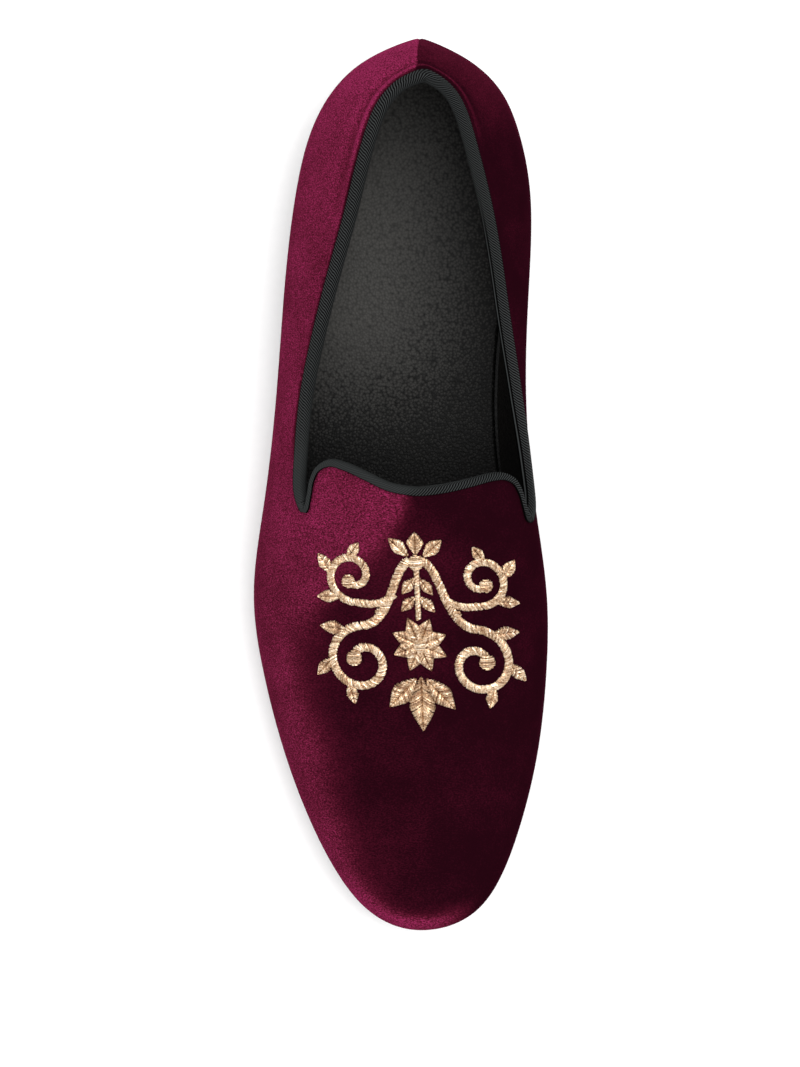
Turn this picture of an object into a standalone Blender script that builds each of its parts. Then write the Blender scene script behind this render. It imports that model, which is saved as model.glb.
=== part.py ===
"""Velvet slipper loafer for the right foot: upper, collar binding, insole, outsole and heel.

The script works in millimetres on the last's own axes (across, along, up) and places the result in
metres: the toe points to -Y, the medial side to +X, and the origin is on the floor under the shoe's middle.
"""

import math
from collections import namedtuple

import bmesh
import bpy
import numpy as np
from mathutils import Vector
from mathutils.geometry import delaunay_2d_cdt

# Driving sizes, in millimetres.
MM = 0.001
LENGTH = 290.0
WALL = 2.0
GAP = 0.3

# Heights of the feather line, where the upper meets the sole, above the floor.
HEEL_SEAT = 18.0
BALL_SEAT = 4.8
TOE_SPRING = 7.5
SEAT_ENDS_AT = 58.0
BALL_STARTS_AT = 178.0
BALL_ENDS_AT = 214.0

# The wall below its widest line: how far it tucks in at heel and toe, and how far down it stays upright.
END_TUCK = 3.0
TUCK_CONTROL = 0.75

# Sole, heel and insole.
SOLE_THICKNESS = 4.5
SOLE_MARGIN = 1.2
SOLE_EDGE_ROUND = 0.6
HEEL_BREAST_AT = 64.0
HEEL_BREAST_HOLLOW = 5.0
HEEL_TAPER = 1.6
HEEL_EDGE_ROUND = 0.6
INSOLE_THICKNESS = 2.5
INSOLE_INSET = 2.4
INSOLE_EDGE_ROUND = 0.7

# Ribbon that binds the top edge of the upper.
BINDING_THICKNESS = 0.5
BINDING_LEG = 3.0
BINDING_GAP = 0.3
COVERED_STRIP = 2.4

# Pattern of the upper laid flat: the ridge is a straight line and the wall is this deep all round it.
RIDGE_START = 26.0
RIDGE_END = 268.0
GIRTH_DEPTH = 70.0
BULGE_REACH = 0.8

# Mesh density. The upper's sheet has its points on the ridge, on rings of these reaches and on its two
# edges. The rings of the lower wall share their turns, so that their points stand over one another.
STEPS_PER_ROW = 4
ROOF_REACHES = (0.14, 0.28, 0.42)
WALL_REACHES = (0.54, 0.64, 0.72, BULGE_REACH, 0.86, 0.91, 0.96)
ROOF_SPACING = 9.0
WALL_SPACING = 6.6
SHEET_CLEARANCE = 3.5
SOLE_SEGMENTS = 96
BREAST_SEGMENTS = 8

# Numerical care: rounds of interval halving, the reaches it searches between, samples along a ring before it
# is cut into even lengths, the step that normals are measured over, and the distance that welds two points.
HALVINGS = 40
LEAST_REACH = 1e-7
MOST_REACH = 2.0
RING_SAMPLES = 721
NORMAL_STEP = 0.2
WELD = 1e-5

# The kind of triangulation that fills the outermost loop.
INSIDE_BOUNDS = 1
SHARP_DEGREES = 40

# A rib of the last, placed by where it meets the widest line. Half widths are measured from the straight
# line between heel seam and toe tip. Tuck is the share of the half width that the feather line stands in.
# Rise is the height of the widest line above the feather line. Full is the share of the way that the wall
# runs straight up and straight in before it turns: a larger share is a boxier wall.
Rib = namedtuple(
    "Rib", "along lateral medial lateral_tuck medial_tuck lateral_rise medial_rise lateral_full medial_full"
)
RIBS = [
    Rib(0.0, 0.0, 0.0, 0.08, 0.08, 18.0, 18.0, 0.43, 0.43),
    Rib(2.0, 7.9, 7.0, 0.08, 0.08, 18.0, 18.0, 0.44, 0.44),
    Rib(8.0, 19.5, 17.7, 0.08, 0.08, 17.7, 18.1, 0.44, 0.46),
    Rib(17.0, 28.7, 26.5, 0.08, 0.08, 17.3, 18.3, 0.39, 0.44),
    Rib(30.0, 35.6, 32.1, 0.08, 0.09, 16.7, 18.8, 0.33, 0.42),
    Rib(50.0, 40.5, 35.8, 0.09, 0.11, 16.0, 20.5, 0.29, 0.38),
    Rib(80.0, 44.2, 35.4, 0.10, 0.18, 15.2, 26.5, 0.32, 0.34),
    Rib(115.0, 47.1, 34.5, 0.10, 0.24, 15.8, 36.5, 0.45, 0.37),
    Rib(150.0, 51.3, 37.3, 0.09, 0.21, 16.5, 39.0, 0.53, 0.58),
    Rib(180.0, 54.9, 41.1, 0.07, 0.11, 14.8, 24.0, 0.57, 0.60),
    Rib(205.0, 51.9, 41.0, 0.07, 0.08, 13.5, 16.0, 0.60, 0.61),
    Rib(230.0, 45.5, 38.4, 0.07, 0.08, 12.9, 13.4, 0.62, 0.62),
    Rib(255.0, 36.1, 32.6, 0.07, 0.08, 12.0, 12.0, 0.64, 0.64),
    Rib(272.0, 27.1, 26.3, 0.08, 0.08, 10.3, 10.3, 0.64, 0.64),
    Rib(284.0, 16.8, 17.6, 0.08, 0.08, 8.8, 8.8, 0.64, 0.64),
    Rib(290.0, 0.0, 0.0, 0.08, 0.08, 8.2, 8.2, 0.64, 0.64),
]

# The last's top line: its height over the floor and how far it lies to the medial side. Behind the throat
# it is the cone that the collar is cut from.
RidgePoint = namedtuple("RidgePoint", "along height across")
RIDGE = [
    RidgePoint(26.0, 87.0, 4.5),
    RidgePoint(55.0, 84.5, 1.0),
    RidgePoint(85.0, 83.0, 0.0),
    RidgePoint(118.0, 80.0, 0.0),
    RidgePoint(147.0, 74.0, 0.0),
    RidgePoint(165.0, 67.0, 0.0),
    RidgePoint(185.0, 58.0, 0.0),
    RidgePoint(205.0, 50.2, 0.0),
    RidgePoint(230.0, 43.0, 0.0),
    RidgePoint(250.0, 38.4, 0.0),
    RidgePoint(268.0, 34.5, 0.0),
]

# The top edge of the upper, once round from the heel seam. A row is set on one side of the shoe, by its
# height on the collar and by its place across round the heel and the throat.
LATERAL, MEDIAL = -1, 1
HeightRow = namedtuple("HeightRow", "side along height")
AcrossRow = namedtuple("AcrossRow", "side along across")
TOP_EDGE = [
    HeightRow(LATERAL, 0.0, 80.6),
    AcrossRow(LATERAL, 17.3, 3.6),
    AcrossRow(LATERAL, 20.3, 7.6),
    AcrossRow(LATERAL, 25.8, 11.6),
    HeightRow(LATERAL, 34.0, 73.9),
    HeightRow(LATERAL, 55.0, 69.1),
    HeightRow(LATERAL, 85.0, 61.8),
    HeightRow(LATERAL, 115.0, 57.1),
    HeightRow(LATERAL, 136.0, 56.0),
    HeightRow(LATERAL, 146.6, 55.9),
    HeightRow(LATERAL, 151.8, 57.2),
    HeightRow(LATERAL, 147.6, 58.9),
    HeightRow(LATERAL, 143.4, 60.0),
    HeightRow(LATERAL, 139.3, 62.2),
    AcrossRow(LATERAL, 137.2, 28.3),
    AcrossRow(LATERAL, 138.4, 23.0),
    AcrossRow(LATERAL, 141.6, 16.0),
    AcrossRow(LATERAL, 145.0, 8.5),
    AcrossRow(MEDIAL, 146.4, 0.0),
    AcrossRow(MEDIAL, 145.5, 8.5),
    AcrossRow(MEDIAL, 143.6, 16.8),
    AcrossRow(MEDIAL, 141.7, 23.8),
    AcrossRow(MEDIAL, 141.5, 27.8),
    AcrossRow(MEDIAL, 143.1, 30.8),
    AcrossRow(MEDIAL, 146.4, 32.7),
    AcrossRow(MEDIAL, 150.4, 33.9),
    AcrossRow(MEDIAL, 154.3, 35.4),
    HeightRow(MEDIAL, 149.4, 52.4),
    HeightRow(MEDIAL, 138.0, 54.4),
    HeightRow(MEDIAL, 115.0, 57.4),
    HeightRow(MEDIAL, 85.0, 62.7),
    HeightRow(MEDIAL, 55.0, 69.7),
    HeightRow(MEDIAL, 34.0, 75.3),
    AcrossRow(MEDIAL, 25.7, 13.6),
    AcrossRow(MEDIAL, 20.2, 10.4),
    AcrossRow(MEDIAL, 17.0, 6.6),
]

# Plain colours (linear), roughness and metallic value of each finish.
Finish = namedtuple("Finish", "name colour roughness metallic")
VELVET = Finish("burgundy velvet", (0.147, 0.008, 0.040), 0.85, 0.0)
RIBBON = Finish("black grosgrain ribbon", (0.012, 0.013, 0.013), 0.7, 0.0)
SOCK_LEATHER = Finish("black sock leather", (0.014, 0.014, 0.014), 0.5, 0.0)
SOLE_LEATHER = Finish("black sole leather", (0.010, 0.009, 0.009), 0.55, 0.0)


def smooth_through(places, values):
    """A natural cubic spline through the points, as a function that takes arrays."""
    x = np.array(places, float)
    y = np.array(values, float)
    count = len(x)
    step = np.diff(x)
    matrix = np.eye(count)
    right = np.zeros(count)
    for i in range(1, count - 1):
        matrix[i, i - 1 : i + 2] = step[i - 1], 2 * (step[i - 1] + step[i]), step[i]
        right[i] = 6 * ((y[i + 1] - y[i]) / step[i] - (y[i] - y[i - 1]) / step[i - 1])
    bend = np.linalg.solve(matrix, right)

    def at(place):
        i = np.clip(np.searchsorted(x, place) - 1, 0, count - 2)
        before = x[i + 1] - place
        after = place - x[i]
        cubic = (bend[i] * before**3 + bend[i + 1] * after**3) / (6 * step[i])
        start = (y[i] / step[i] - bend[i] * step[i] / 6) * before
        end = (y[i + 1] / step[i] - bend[i + 1] * step[i] / 6) * after
        return cubic + start + end

    return at


def turn_at(along):
    """The turn round the last, 0 at the heel seam and pi at the toe tip, of a rib at this place."""
    return np.arccos(np.clip(1 - 2 * np.asarray(along, float) / LENGTH, -1, 1))


def rib_column(name):
    """One column of the rib table as a smooth function of the turn."""
    turns = turn_at([rib.along for rib in RIBS])
    return smooth_through(turns, [getattr(rib, name) for rib in RIBS])


HALF = {LATERAL: rib_column("lateral"), MEDIAL: rib_column("medial")}
TUCK = {LATERAL: rib_column("lateral_tuck"), MEDIAL: rib_column("medial_tuck")}
RISE = {LATERAL: rib_column("lateral_rise"), MEDIAL: rib_column("medial_rise")}
FULL = {LATERAL: rib_column("lateral_full"), MEDIAL: rib_column("medial_full")}
ridge_height = smooth_through([point.along for point in RIDGE], [point.height for point in RIDGE])
ridge_across = smooth_through([point.along for point in RIDGE], [point.across for point in RIDGE])


def eased(share):
    """A smooth step from 0 to 1."""
    share = np.clip(share, 0, 1)
    return share * share * (3 - 2 * share)


def seat_height(along):
    """The feather line's height: flat heel seat, arch, flat ball and toe spring."""
    arch = eased((along - SEAT_ENDS_AT) / (BALL_STARTS_AT - SEAT_ENDS_AT))
    spring = np.clip((along - BALL_ENDS_AT) / (LENGTH - BALL_ENDS_AT), 0, None) ** 2
    return HEEL_SEAT + (BALL_SEAT - HEEL_SEAT) * arch + TOE_SPRING * spring


def by_side(columns, turn):
    """A rib column at each turn, from the lateral table up to the toe and the medial one past it."""
    folded = np.where(turn <= math.pi, turn, 2 * math.pi - turn)
    return np.where(turn <= math.pi, columns[LATERAL](folded), columns[MEDIAL](folded))


def feather_line(turn):
    """Across and along of the feather line."""
    side = np.where(turn <= math.pi, LATERAL, MEDIAL)
    across = side * by_side(HALF, turn) * (1 - by_side(TUCK, turn))
    along = END_TUCK + (LENGTH - 2 * END_TUCK) / 2 * (1 - np.cos(turn))
    return across, along


def stacked(across, along, up):
    return np.stack(np.broadcast_arrays(across, along, up), axis=-1)


def last_surface(turn, reach):
    """Points of the upper's outside.

    Reach is 0 on the ridge, BULGE_REACH on the widest line and 1 on the feather line.
    """
    turn = np.asarray(turn, float)
    reach = np.asarray(reach, float)
    side = np.where(turn <= math.pi, LATERAL, MEDIAL)
    bulge_along = LENGTH / 2 * (1 - np.cos(turn))
    bulge_up = seat_height(bulge_along) + by_side(RISE, turn)
    bulge = stacked(side * by_side(HALF, turn), bulge_along, bulge_up)
    feather_across, feather_along = feather_line(turn)
    feather = stacked(feather_across, feather_along, seat_height(feather_along))
    ridge_along = ridge_place(turn)
    ridge = stacked(ridge_across(ridge_along), ridge_along, ridge_height(ridge_along))

    # From the widest line a Bezier curve leaves upright and arrives level along the ridge.
    full = by_side(FULL, turn)
    upright = bulge.copy()
    upright[..., 2] += full * (ridge[..., 2] - bulge[..., 2])
    level = ridge + full[..., None] * (bulge - ridge)
    slope = (ridge_height(ridge_along + 1) - ridge_height(ridge_along - 1)) / 2
    level[..., 2] = ridge[..., 2] + slope * (level[..., 1] - ridge_along)
    t = np.clip(1 - reach / BULGE_REACH, 0, 1)[..., None]
    lower = (1 - t) ** 3 * bulge + 3 * t * (1 - t) ** 2 * upright
    wall = lower + 3 * t**2 * (1 - t) * level + t**3 * ridge

    # Below the widest line the wall drops upright and tucks in to the feather line.
    rise = bulge[..., 2] - feather[..., 2]
    corner = bulge.copy()
    corner[..., 2] -= TUCK_CONTROL * rise
    d = np.clip((reach - BULGE_REACH) / (1 - BULGE_REACH), 0, 1)[..., None]
    tucked = (1 - d) ** 2 * bulge + 2 * d * (1 - d) * corner + d**2 * feather
    return np.where(reach[..., None] <= BULGE_REACH, wall, tucked)


RIDGE_MIDDLE = (RIDGE_START + RIDGE_END) / 2
RIDGE_HALF = (RIDGE_END - RIDGE_START) / 2


def ridge_place(turn):
    """Where the rib at this turn meets the ridge."""
    return RIDGE_MIDDLE - RIDGE_HALF * np.cos(turn)


def laid_flat(turn, reach):
    """Place on the flat pattern: along the ridge and across it, lateral side negative."""
    depth = GIRTH_DEPTH * np.asarray(reach, float)
    along = RIDGE_MIDDLE - (RIDGE_HALF + depth) * np.cos(turn)
    return np.stack(np.broadcast_arrays(along, -depth * np.sin(turn)), axis=-1)


def halved(low, high, is_low):
    """The places between low and high where is_low changes from true to false."""
    for _ in range(HALVINGS):
        middle = (low + high) / 2
        still_low = is_low(middle)
        low = np.where(still_low, middle, low)
        high = np.where(still_low, high, middle)
    return (low + high) / 2


def from_flat(flat):
    """Turn and reach of places on the flat pattern."""
    along = flat[..., 0] - RIDGE_MIDDLE
    across = flat[..., 1]

    def is_outside(reach):
        depth = GIRTH_DEPTH * reach
        return (along / (RIDGE_HALF + depth)) ** 2 + (across / depth) ** 2 > 1

    reach = halved(np.full(along.shape, LEAST_REACH), np.full(along.shape, MOST_REACH), is_outside)
    folded = np.arccos(np.clip(-along / (RIDGE_HALF + GIRTH_DEPTH * reach), -1, 1))
    return np.where(across > 0, 2 * math.pi - folded, folded), reach


def rows_on_last():
    """Turn and reach of the rows of the top edge."""
    count = len(TOP_EDGE)
    side = np.array([row.side for row in TOP_EDGE])
    along = np.array([row.along for row in TOP_EDGE])
    by_height = np.array([isinstance(row, HeightRow) for row in TOP_EDGE])
    target = np.array([-row.height if isinstance(row, HeightRow) else row.across for row in TOP_EDGE])

    def place(folded):
        turn = np.where(side == LATERAL, folded, 2 * math.pi - folded)

        def is_above(reach):
            point = last_surface(turn, reach)
            return np.where(by_height, -point[:, 2], side * point[:, 0]) < target

        return turn, halved(np.zeros(count), np.full(count, BULGE_REACH), is_above)

    def is_behind(folded):
        return last_surface(*place(folded))[:, 1] < along

    return place(halved(np.zeros(count), np.full(count, math.pi), is_behind))


def closed_curve(points, steps):
    """A closed centripetal Catmull-Rom curve through the points, with so many steps to each."""
    count = len(points)
    samples = []
    for i in range(count):
        a, b, c, d = (points[(i + k) % count] for k in (-1, 0, 1, 2))
        t0 = 0.0
        t1 = t0 + np.linalg.norm(b - a) ** 0.5
        t2 = t1 + np.linalg.norm(c - b) ** 0.5
        t3 = t2 + np.linalg.norm(d - c) ** 0.5
        for k in range(steps):
            t = t1 + (t2 - t1) * k / steps
            ab = (a * (t1 - t) + b * (t - t0)) / (t1 - t0)
            bc = (b * (t2 - t) + c * (t - t1)) / (t2 - t1)
            cd = (c * (t3 - t) + d * (t - t2)) / (t3 - t2)
            abc = (ab * (t2 - t) + bc * (t - t0)) / (t2 - t0)
            bcd = (bc * (t3 - t) + cd * (t - t1)) / (t3 - t1)
            samples.append((abc * (t2 - t) + bcd * (t - t1)) / (t2 - t1))
    return np.array(samples)


def top_edge():
    """The top edge of the upper on the flat pattern."""
    return closed_curve(laid_flat(*rows_on_last()), STEPS_PER_ROW)


def into_material(edge):
    """Unit vectors on the flat pattern, square to the top edge and away from the opening."""
    along = np.roll(edge, -1, axis=0) - np.roll(edge, 1, axis=0)
    along /= np.linalg.norm(along, axis=1, keepdims=True)
    return np.stack([along[:, 1], -along[:, 0]], axis=1)


def on_last(flat):
    return last_surface(*from_flat(flat))


def stepped_in(edge, distance):
    """The top edge moved into the material by a true distance on the last."""
    inward = into_material(edge)
    stretch = np.linalg.norm(on_last(edge + inward) - on_last(edge), axis=1, keepdims=True)
    return edge + inward * distance / stretch


def even_turns(reach, spacing):
    """Turns that cut the ring at this reach into even lengths, on each side from heel to toe."""
    halves = []
    for start in (0.0, math.pi):
        turn = start + np.linspace(0, math.pi, RING_SAMPLES)
        steps = np.linalg.norm(np.diff(last_surface(turn, reach), axis=0), axis=1)
        walked = np.concatenate([[0.0], np.cumsum(steps)])
        count = round(walked[-1] / spacing)
        halves.append(np.interp(np.linspace(0, walked[-1], count, endpoint=False), walked, turn))
    return np.concatenate(halves)


def lies_inside(points, loop):
    """Whether each point lies inside a closed loop, by counting the sides that a ray crosses."""
    following = np.roll(loop, -1, axis=0)
    x, y = points[:, None, 0], points[:, None, 1]
    spans = (loop[:, 1] > y) != (following[:, 1] > y)
    rise = np.where(following[:, 1] == loop[:, 1], 1.0, following[:, 1] - loop[:, 1])
    crossing = loop[:, 0] + (y - loop[:, 1]) * (following[:, 0] - loop[:, 0]) / rise
    return np.sum(spans & (x < crossing), axis=1) % 2 == 1


def sheet_points(opening):
    """Points of the upper's sheet between the opening and the feather line, on rings of even reach."""
    rings = [laid_flat(even_turns(reach, ROOF_SPACING), reach) for reach in ROOF_REACHES]
    rings += [laid_flat(WALL_TURNS, reach) for reach in WALL_REACHES]
    ridge = np.arange(RIDGE_START, RIDGE_END, ROOF_SPACING)
    points = np.concatenate(rings + [np.stack([ridge, 0 * ridge], axis=1)])
    apart = np.linalg.norm(points[:, None] - opening[None], axis=2).min(axis=1)
    return points[~lies_inside(points, opening) & (apart > SHEET_CLEARANCE)]


def ring_of(start, count):
    """The edges of a closed ring of points."""
    return [(start + i, start + (i + 1) % count) for i in range(count)]


def upper_sheet():
    """Flat places and faces of the upper: strips under the binding, then triangles to the feather line."""
    count = len(EDGE)
    under_binding = stepped_in(EDGE, COVERED_STRIP)
    feather = laid_flat(WALL_TURNS, 1.0)
    net = np.concatenate([under_binding, feather, sheet_points(under_binding)])
    bounds = ring_of(0, count) + ring_of(count, len(feather))
    result = delaunay_2d_cdt([Vector(place) for place in net], bounds, [], INSIDE_BOUNDS, WELD)
    came_from = np.array([origins[0] for origins in result[3]])
    triangles = came_from[np.array(result[2])]
    triangles = triangles[~lies_inside(net[triangles].mean(axis=1), under_binding)]
    first = 2 * count
    faces = (triangles + first).tolist()
    for ring in (0, count):
        faces += [(a, a + count, b + count, b) for a, b in ring_of(ring, count)]
    return np.concatenate([EDGE, (EDGE + under_binding) / 2, net]), faces


def outward_normals(flat):
    """Unit normals of the last, pointing out of the shoe, at places on the flat pattern."""
    along = on_last(flat + [NORMAL_STEP, 0]) - on_last(flat - [NORMAL_STEP, 0])
    across = on_last(flat + [0, NORMAL_STEP]) - on_last(flat - [0, NORMAL_STEP])
    normal = np.cross(across, along)
    normal *= np.sign(np.sum(normal * (on_last(flat) - [0, LENGTH / 2, 0]), axis=1, keepdims=True))
    return normal / np.linalg.norm(normal, axis=1, keepdims=True)


def outline_shift():
    """The distance across that brings the middle of the shoe's width to the origin."""
    turn = np.linspace(0, math.pi, RING_SAMPLES)
    return float(HALF[LATERAL](turn).max() - HALF[MEDIAL](turn).max()) / 2


ACROSS_SHIFT = outline_shift()
EDGE = top_edge()
WALL_TURNS = even_turns(BULGE_REACH, WALL_SPACING)


def placed(points):
    """Points in millimetres on the last's axes, as world coordinates in metres."""
    across, along, up = np.moveaxis(np.asarray(points, float), -1, 0)
    return np.stack([across + ACROSS_SHIFT, LENGTH / 2 - along, up], axis=-1) * MM


def lofted(name, rings, finish, collection, closed=False, capped=False):
    """An object whose skin joins closed rings of equally many points, in order.

    A closed loft joins the last ring to the first. A capped one fills the end rings with strips that run
    from each point to the one across the shoe from it.
    """
    count = len(rings[0])
    starts = [count * i for i in range(len(rings))]
    faces = []
    for low, high in zip(starts, starts[1:] + (starts[:1] if closed else [])):
        faces += [(low + a, high + a, high + b, low + b) for a, b in ring_of(0, count)]
    if capped:
        for start in (starts[0], starts[-1]):
            for i in range(count // 2):
                corners = (i, i + 1, count - i - 1, -i % count)
                faces.append(tuple(dict.fromkeys(start + corner for corner in corners)))
    return skinned(name, np.concatenate(rings), faces, finish, collection)


def skinned(name, points, faces, finish, collection):
    """An object from points in millimetres and faces."""
    data = bpy.data.meshes.new(name)
    data.from_pydata(placed(points).tolist(), [], faces)
    made = bpy.data.objects.new(name, data)
    collection.objects.link(made)
    face_outwards(data)
    data.materials.append(material(finish))
    return made


def face_outwards(data):
    """Turns a closed skin's normals outwards and smooths all but its sharp edges."""
    mesh = bmesh.new()
    mesh.from_mesh(data)
    if not any(edge.is_boundary for edge in mesh.edges):
        bmesh.ops.recalc_face_normals(mesh, faces=mesh.faces)
    mesh.to_mesh(data)
    mesh.free()
    data.shade_smooth()
    data.set_sharp_from_angle(angle=math.radians(SHARP_DEGREES))


def material(finish):
    made = bpy.data.materials.new(finish.name)
    made.use_nodes = True
    shader = made.node_tree.nodes["Principled BSDF"]
    shader.inputs["Base Color"].default_value = (*finish.colour, 1.0)
    shader.inputs["Roughness"].default_value = finish.roughness
    shader.inputs["Metallic"].default_value = finish.metallic
    return made


def upper(collection):
    """The upper: an open sheet on the last from its top edge to the feather line, thickened inwards."""
    flat, faces = upper_sheet()
    made = skinned("upper", on_last(flat), faces, VELVET, collection)
    shell = made.modifiers.new("wall", "SOLIDIFY")
    shell.thickness = WALL * MM
    shell.offset = -1
    shell.use_even_offset = True
    return made


def collar_binding(collection):
    """The ribbon folded over the top edge, as a channel round collar and throat."""
    middle = stepped_in(EDGE, BINDING_LEG / 2)
    leg_end = stepped_in(EDGE, BINDING_LEG - GAP)
    out_near = BINDING_GAP
    out_far = BINDING_GAP + BINDING_THICKNESS
    in_near = -WALL - BINDING_GAP
    in_far = in_near - BINDING_THICKNESS
    crown = -BINDING_GAP - BINDING_THICKNESS
    lines = {"edge": EDGE, "middle": middle, "leg_end": leg_end}
    skin = {name: (on_last(flat), outward_normals(flat)) for name, flat in lines.items()}
    inward = skin["middle"][0] - skin["edge"][0]
    inward /= np.linalg.norm(inward, axis=1, keepdims=True)

    def ring(row, out, down=0.0):
        points, normals = skin[row]
        return points + normals * out + inward * down

    rings = [
        ring("leg_end", out_near),
        ring("leg_end", out_far),
        ring("middle", out_far),
        ring("edge", out_far),
        ring("edge", 0.0, crown),
        ring("edge", -WALL, crown),
        ring("edge", in_far),
        ring("middle", in_far),
        ring("leg_end", in_far),
        ring("leg_end", in_near),
        ring("middle", in_near),
        ring("edge", in_near, -BINDING_GAP),
        ring("edge", out_near, -BINDING_GAP),
        ring("middle", out_near),
    ]
    return lofted("collar_binding", rings, RIBBON, collection, closed=True)


def feather_loop(segments):
    """The feather line as a closed loop of points (across, along), once round from the heel seam."""
    turn = np.arange(segments) * 2 * math.pi / segments
    return np.stack(feather_line(turn), axis=1)


def grown(loop, distance):
    """A loop moved outwards, square to itself."""
    along = np.roll(loop, -1, axis=0) - np.roll(loop, 1, axis=0)
    along /= np.linalg.norm(along, axis=1, keepdims=True)
    return loop + distance * np.stack([-along[:, 1], along[:, 0]], axis=1)


def plate(name, margin, bottom, top, rounding, finish, collection):
    """A sole-shaped plate between two heights that vary along the shoe, with its edges eased."""
    loop = feather_loop(SOLE_SEGMENTS)
    side = grown(loop, margin)
    face = grown(loop, margin - rounding)
    rings = [
        stacked(face[:, 0], face[:, 1], bottom(face[:, 1])),
        stacked(side[:, 0], side[:, 1], bottom(side[:, 1]) + rounding),
        stacked(side[:, 0], side[:, 1], top(side[:, 1]) - rounding),
        stacked(face[:, 0], face[:, 1], top(face[:, 1])),
    ]
    return lofted(name, rings, finish, collection, capped=True)


def outsole_top(along):
    return seat_height(along) - GAP


def outsole_bottom(along):
    """The tread: flat on the floor under the ball, clear of it under arch and toe."""
    return np.maximum(outsole_top(along) - SOLE_THICKNESS, 0.0)


def outsole(collection):
    return plate(
        "outsole", SOLE_MARGIN, outsole_bottom, outsole_top, SOLE_EDGE_ROUND, SOLE_LEATHER, collection
    )


def insole(collection):
    def top(along):
        return seat_height(along) + INSOLE_THICKNESS

    return plate("insole", -INSOLE_INSET, seat_height, top, INSOLE_EDGE_ROUND, SOCK_LEATHER, collection)


def heel(collection):
    """The heel block under the seat: the sole's outline as far as the slightly hollowed breast."""
    outline = grown(feather_loop(SOLE_SEGMENTS), SOLE_MARGIN - SOLE_EDGE_ROUND)
    back = [point for point in np.roll(outline, SOLE_SEGMENTS // 2, axis=0) if point[1] < HEEL_BREAST_AT]
    lateral_end = back[-1]
    medial_end = back[0]
    share = np.linspace(0, 1, BREAST_SEGMENTS + 1)[1:-1, None]
    breast = lateral_end + (medial_end - lateral_end) * share
    breast[:, 1] -= HEEL_BREAST_HOLLOW * np.sin(math.pi * share[:, 0])
    loop = np.concatenate([back, breast])
    middle = loop.mean(axis=0)

    def level(inset, up):
        reach = np.linalg.norm(loop - middle, axis=1, keepdims=True)
        moved = middle + (loop - middle) * (1 - inset / reach)
        return stacked(moved[:, 0], moved[:, 1], up)

    top = HEEL_SEAT - GAP - SOLE_THICKNESS - GAP
    rings = [
        level(HEEL_TAPER + HEEL_EDGE_ROUND, 0.0),
        level(HEEL_TAPER, HEEL_EDGE_ROUND),
        level(0.0, top),
    ]
    return capped_block("heel", rings, SOLE_LEATHER, collection)


def capped_block(name, rings, finish, collection):
    """A loft whose end rings are each filled with one flat face."""
    count = len(rings[0])
    made = lofted(name, rings, finish, collection)
    mesh = bmesh.new()
    mesh.from_mesh(made.data)
    bmesh.ops.holes_fill(mesh, edges=[edge for edge in mesh.edges if edge.is_boundary], sides=count)
    mesh.to_mesh(made.data)
    mesh.free()
    face_outwards(made.data)
    return made


def main():
    for old in list(bpy.data.objects):
        bpy.data.objects.remove(old)
    shoe = bpy.data.collections.new("slipper_loafer")
    bpy.context.scene.collection.children.link(shoe)
    upper(shoe)
    collar_binding(shoe)
    insole(shoe)
    outsole(shoe)
    heel(shoe)


main()
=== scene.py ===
"""Looks of the velvet slipper loafer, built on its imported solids.

Shapes are worked out in millimetres on the last's own axes (across, along, up) and placed in metres, with
the toe to -Y, the medial side to +X and the origin on the floor under the shoe's middle.
"""

import math
from collections import namedtuple

import bmesh
import bpy
import numpy as np
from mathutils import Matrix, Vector
from mathutils.bvhtree import BVHTree
from mathutils.geometry import delaunay_2d_cdt
from mathutils.kdtree import KDTree


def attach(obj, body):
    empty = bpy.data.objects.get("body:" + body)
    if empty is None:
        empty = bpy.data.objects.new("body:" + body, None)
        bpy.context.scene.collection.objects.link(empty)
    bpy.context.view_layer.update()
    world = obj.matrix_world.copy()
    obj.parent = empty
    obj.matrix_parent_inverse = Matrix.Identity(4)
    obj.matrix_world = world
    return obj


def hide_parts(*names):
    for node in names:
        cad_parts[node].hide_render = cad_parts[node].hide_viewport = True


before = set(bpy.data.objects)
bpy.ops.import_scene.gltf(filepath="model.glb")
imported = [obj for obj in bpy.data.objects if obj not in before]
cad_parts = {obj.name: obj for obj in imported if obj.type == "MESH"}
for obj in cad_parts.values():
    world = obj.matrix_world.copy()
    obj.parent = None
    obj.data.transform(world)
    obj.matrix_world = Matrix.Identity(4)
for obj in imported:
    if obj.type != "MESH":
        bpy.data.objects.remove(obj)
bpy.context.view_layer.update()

bl_info = {
    "name": "Velvet slipper",
    "version": (1, 0, 0),
    "blender": (4, 5, 0),
    "location": "3D View > Sidebar > Slipper",
    "description": "Builds the velvet, ribbon, leather and embroidery of a slipper on its solids",
    "category": "Object",
}

MM = 0.001

# The last, in the sizes of the solids.
LENGTH = 290.0
WALL = 2.0
GAP = 0.3
HEEL_SEAT = 18.0
BALL_SEAT = 4.8
TOE_SPRING = 7.5
SEAT_ENDS_AT = 58.0
BALL_STARTS_AT = 178.0
BALL_ENDS_AT = 214.0
END_TUCK = 3.0
TUCK_CONTROL = 0.75
SOLE_THICKNESS = 4.5
SOLE_MARGIN = 1.2
SOLE_EDGE_ROUND = 0.9
HEEL_BREAST_AT = 64.0
HEEL_BREAST_HOLLOW = 5.0
HEEL_TAPER = 1.6
HEEL_EDGE_ROUND = 0.8
INSOLE_THICKNESS = 2.5
INSOLE_INSET = 2.4
INSOLE_EDGE_ROUND = 1.0
BINDING_THICKNESS = 0.5
BINDING_LEG = 3.0
BINDING_GAP = 0.3
RIDGE_START = 26.0
RIDGE_END = 268.0
GIRTH_DEPTH = 70.0
BULGE_REACH = 0.8

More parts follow.
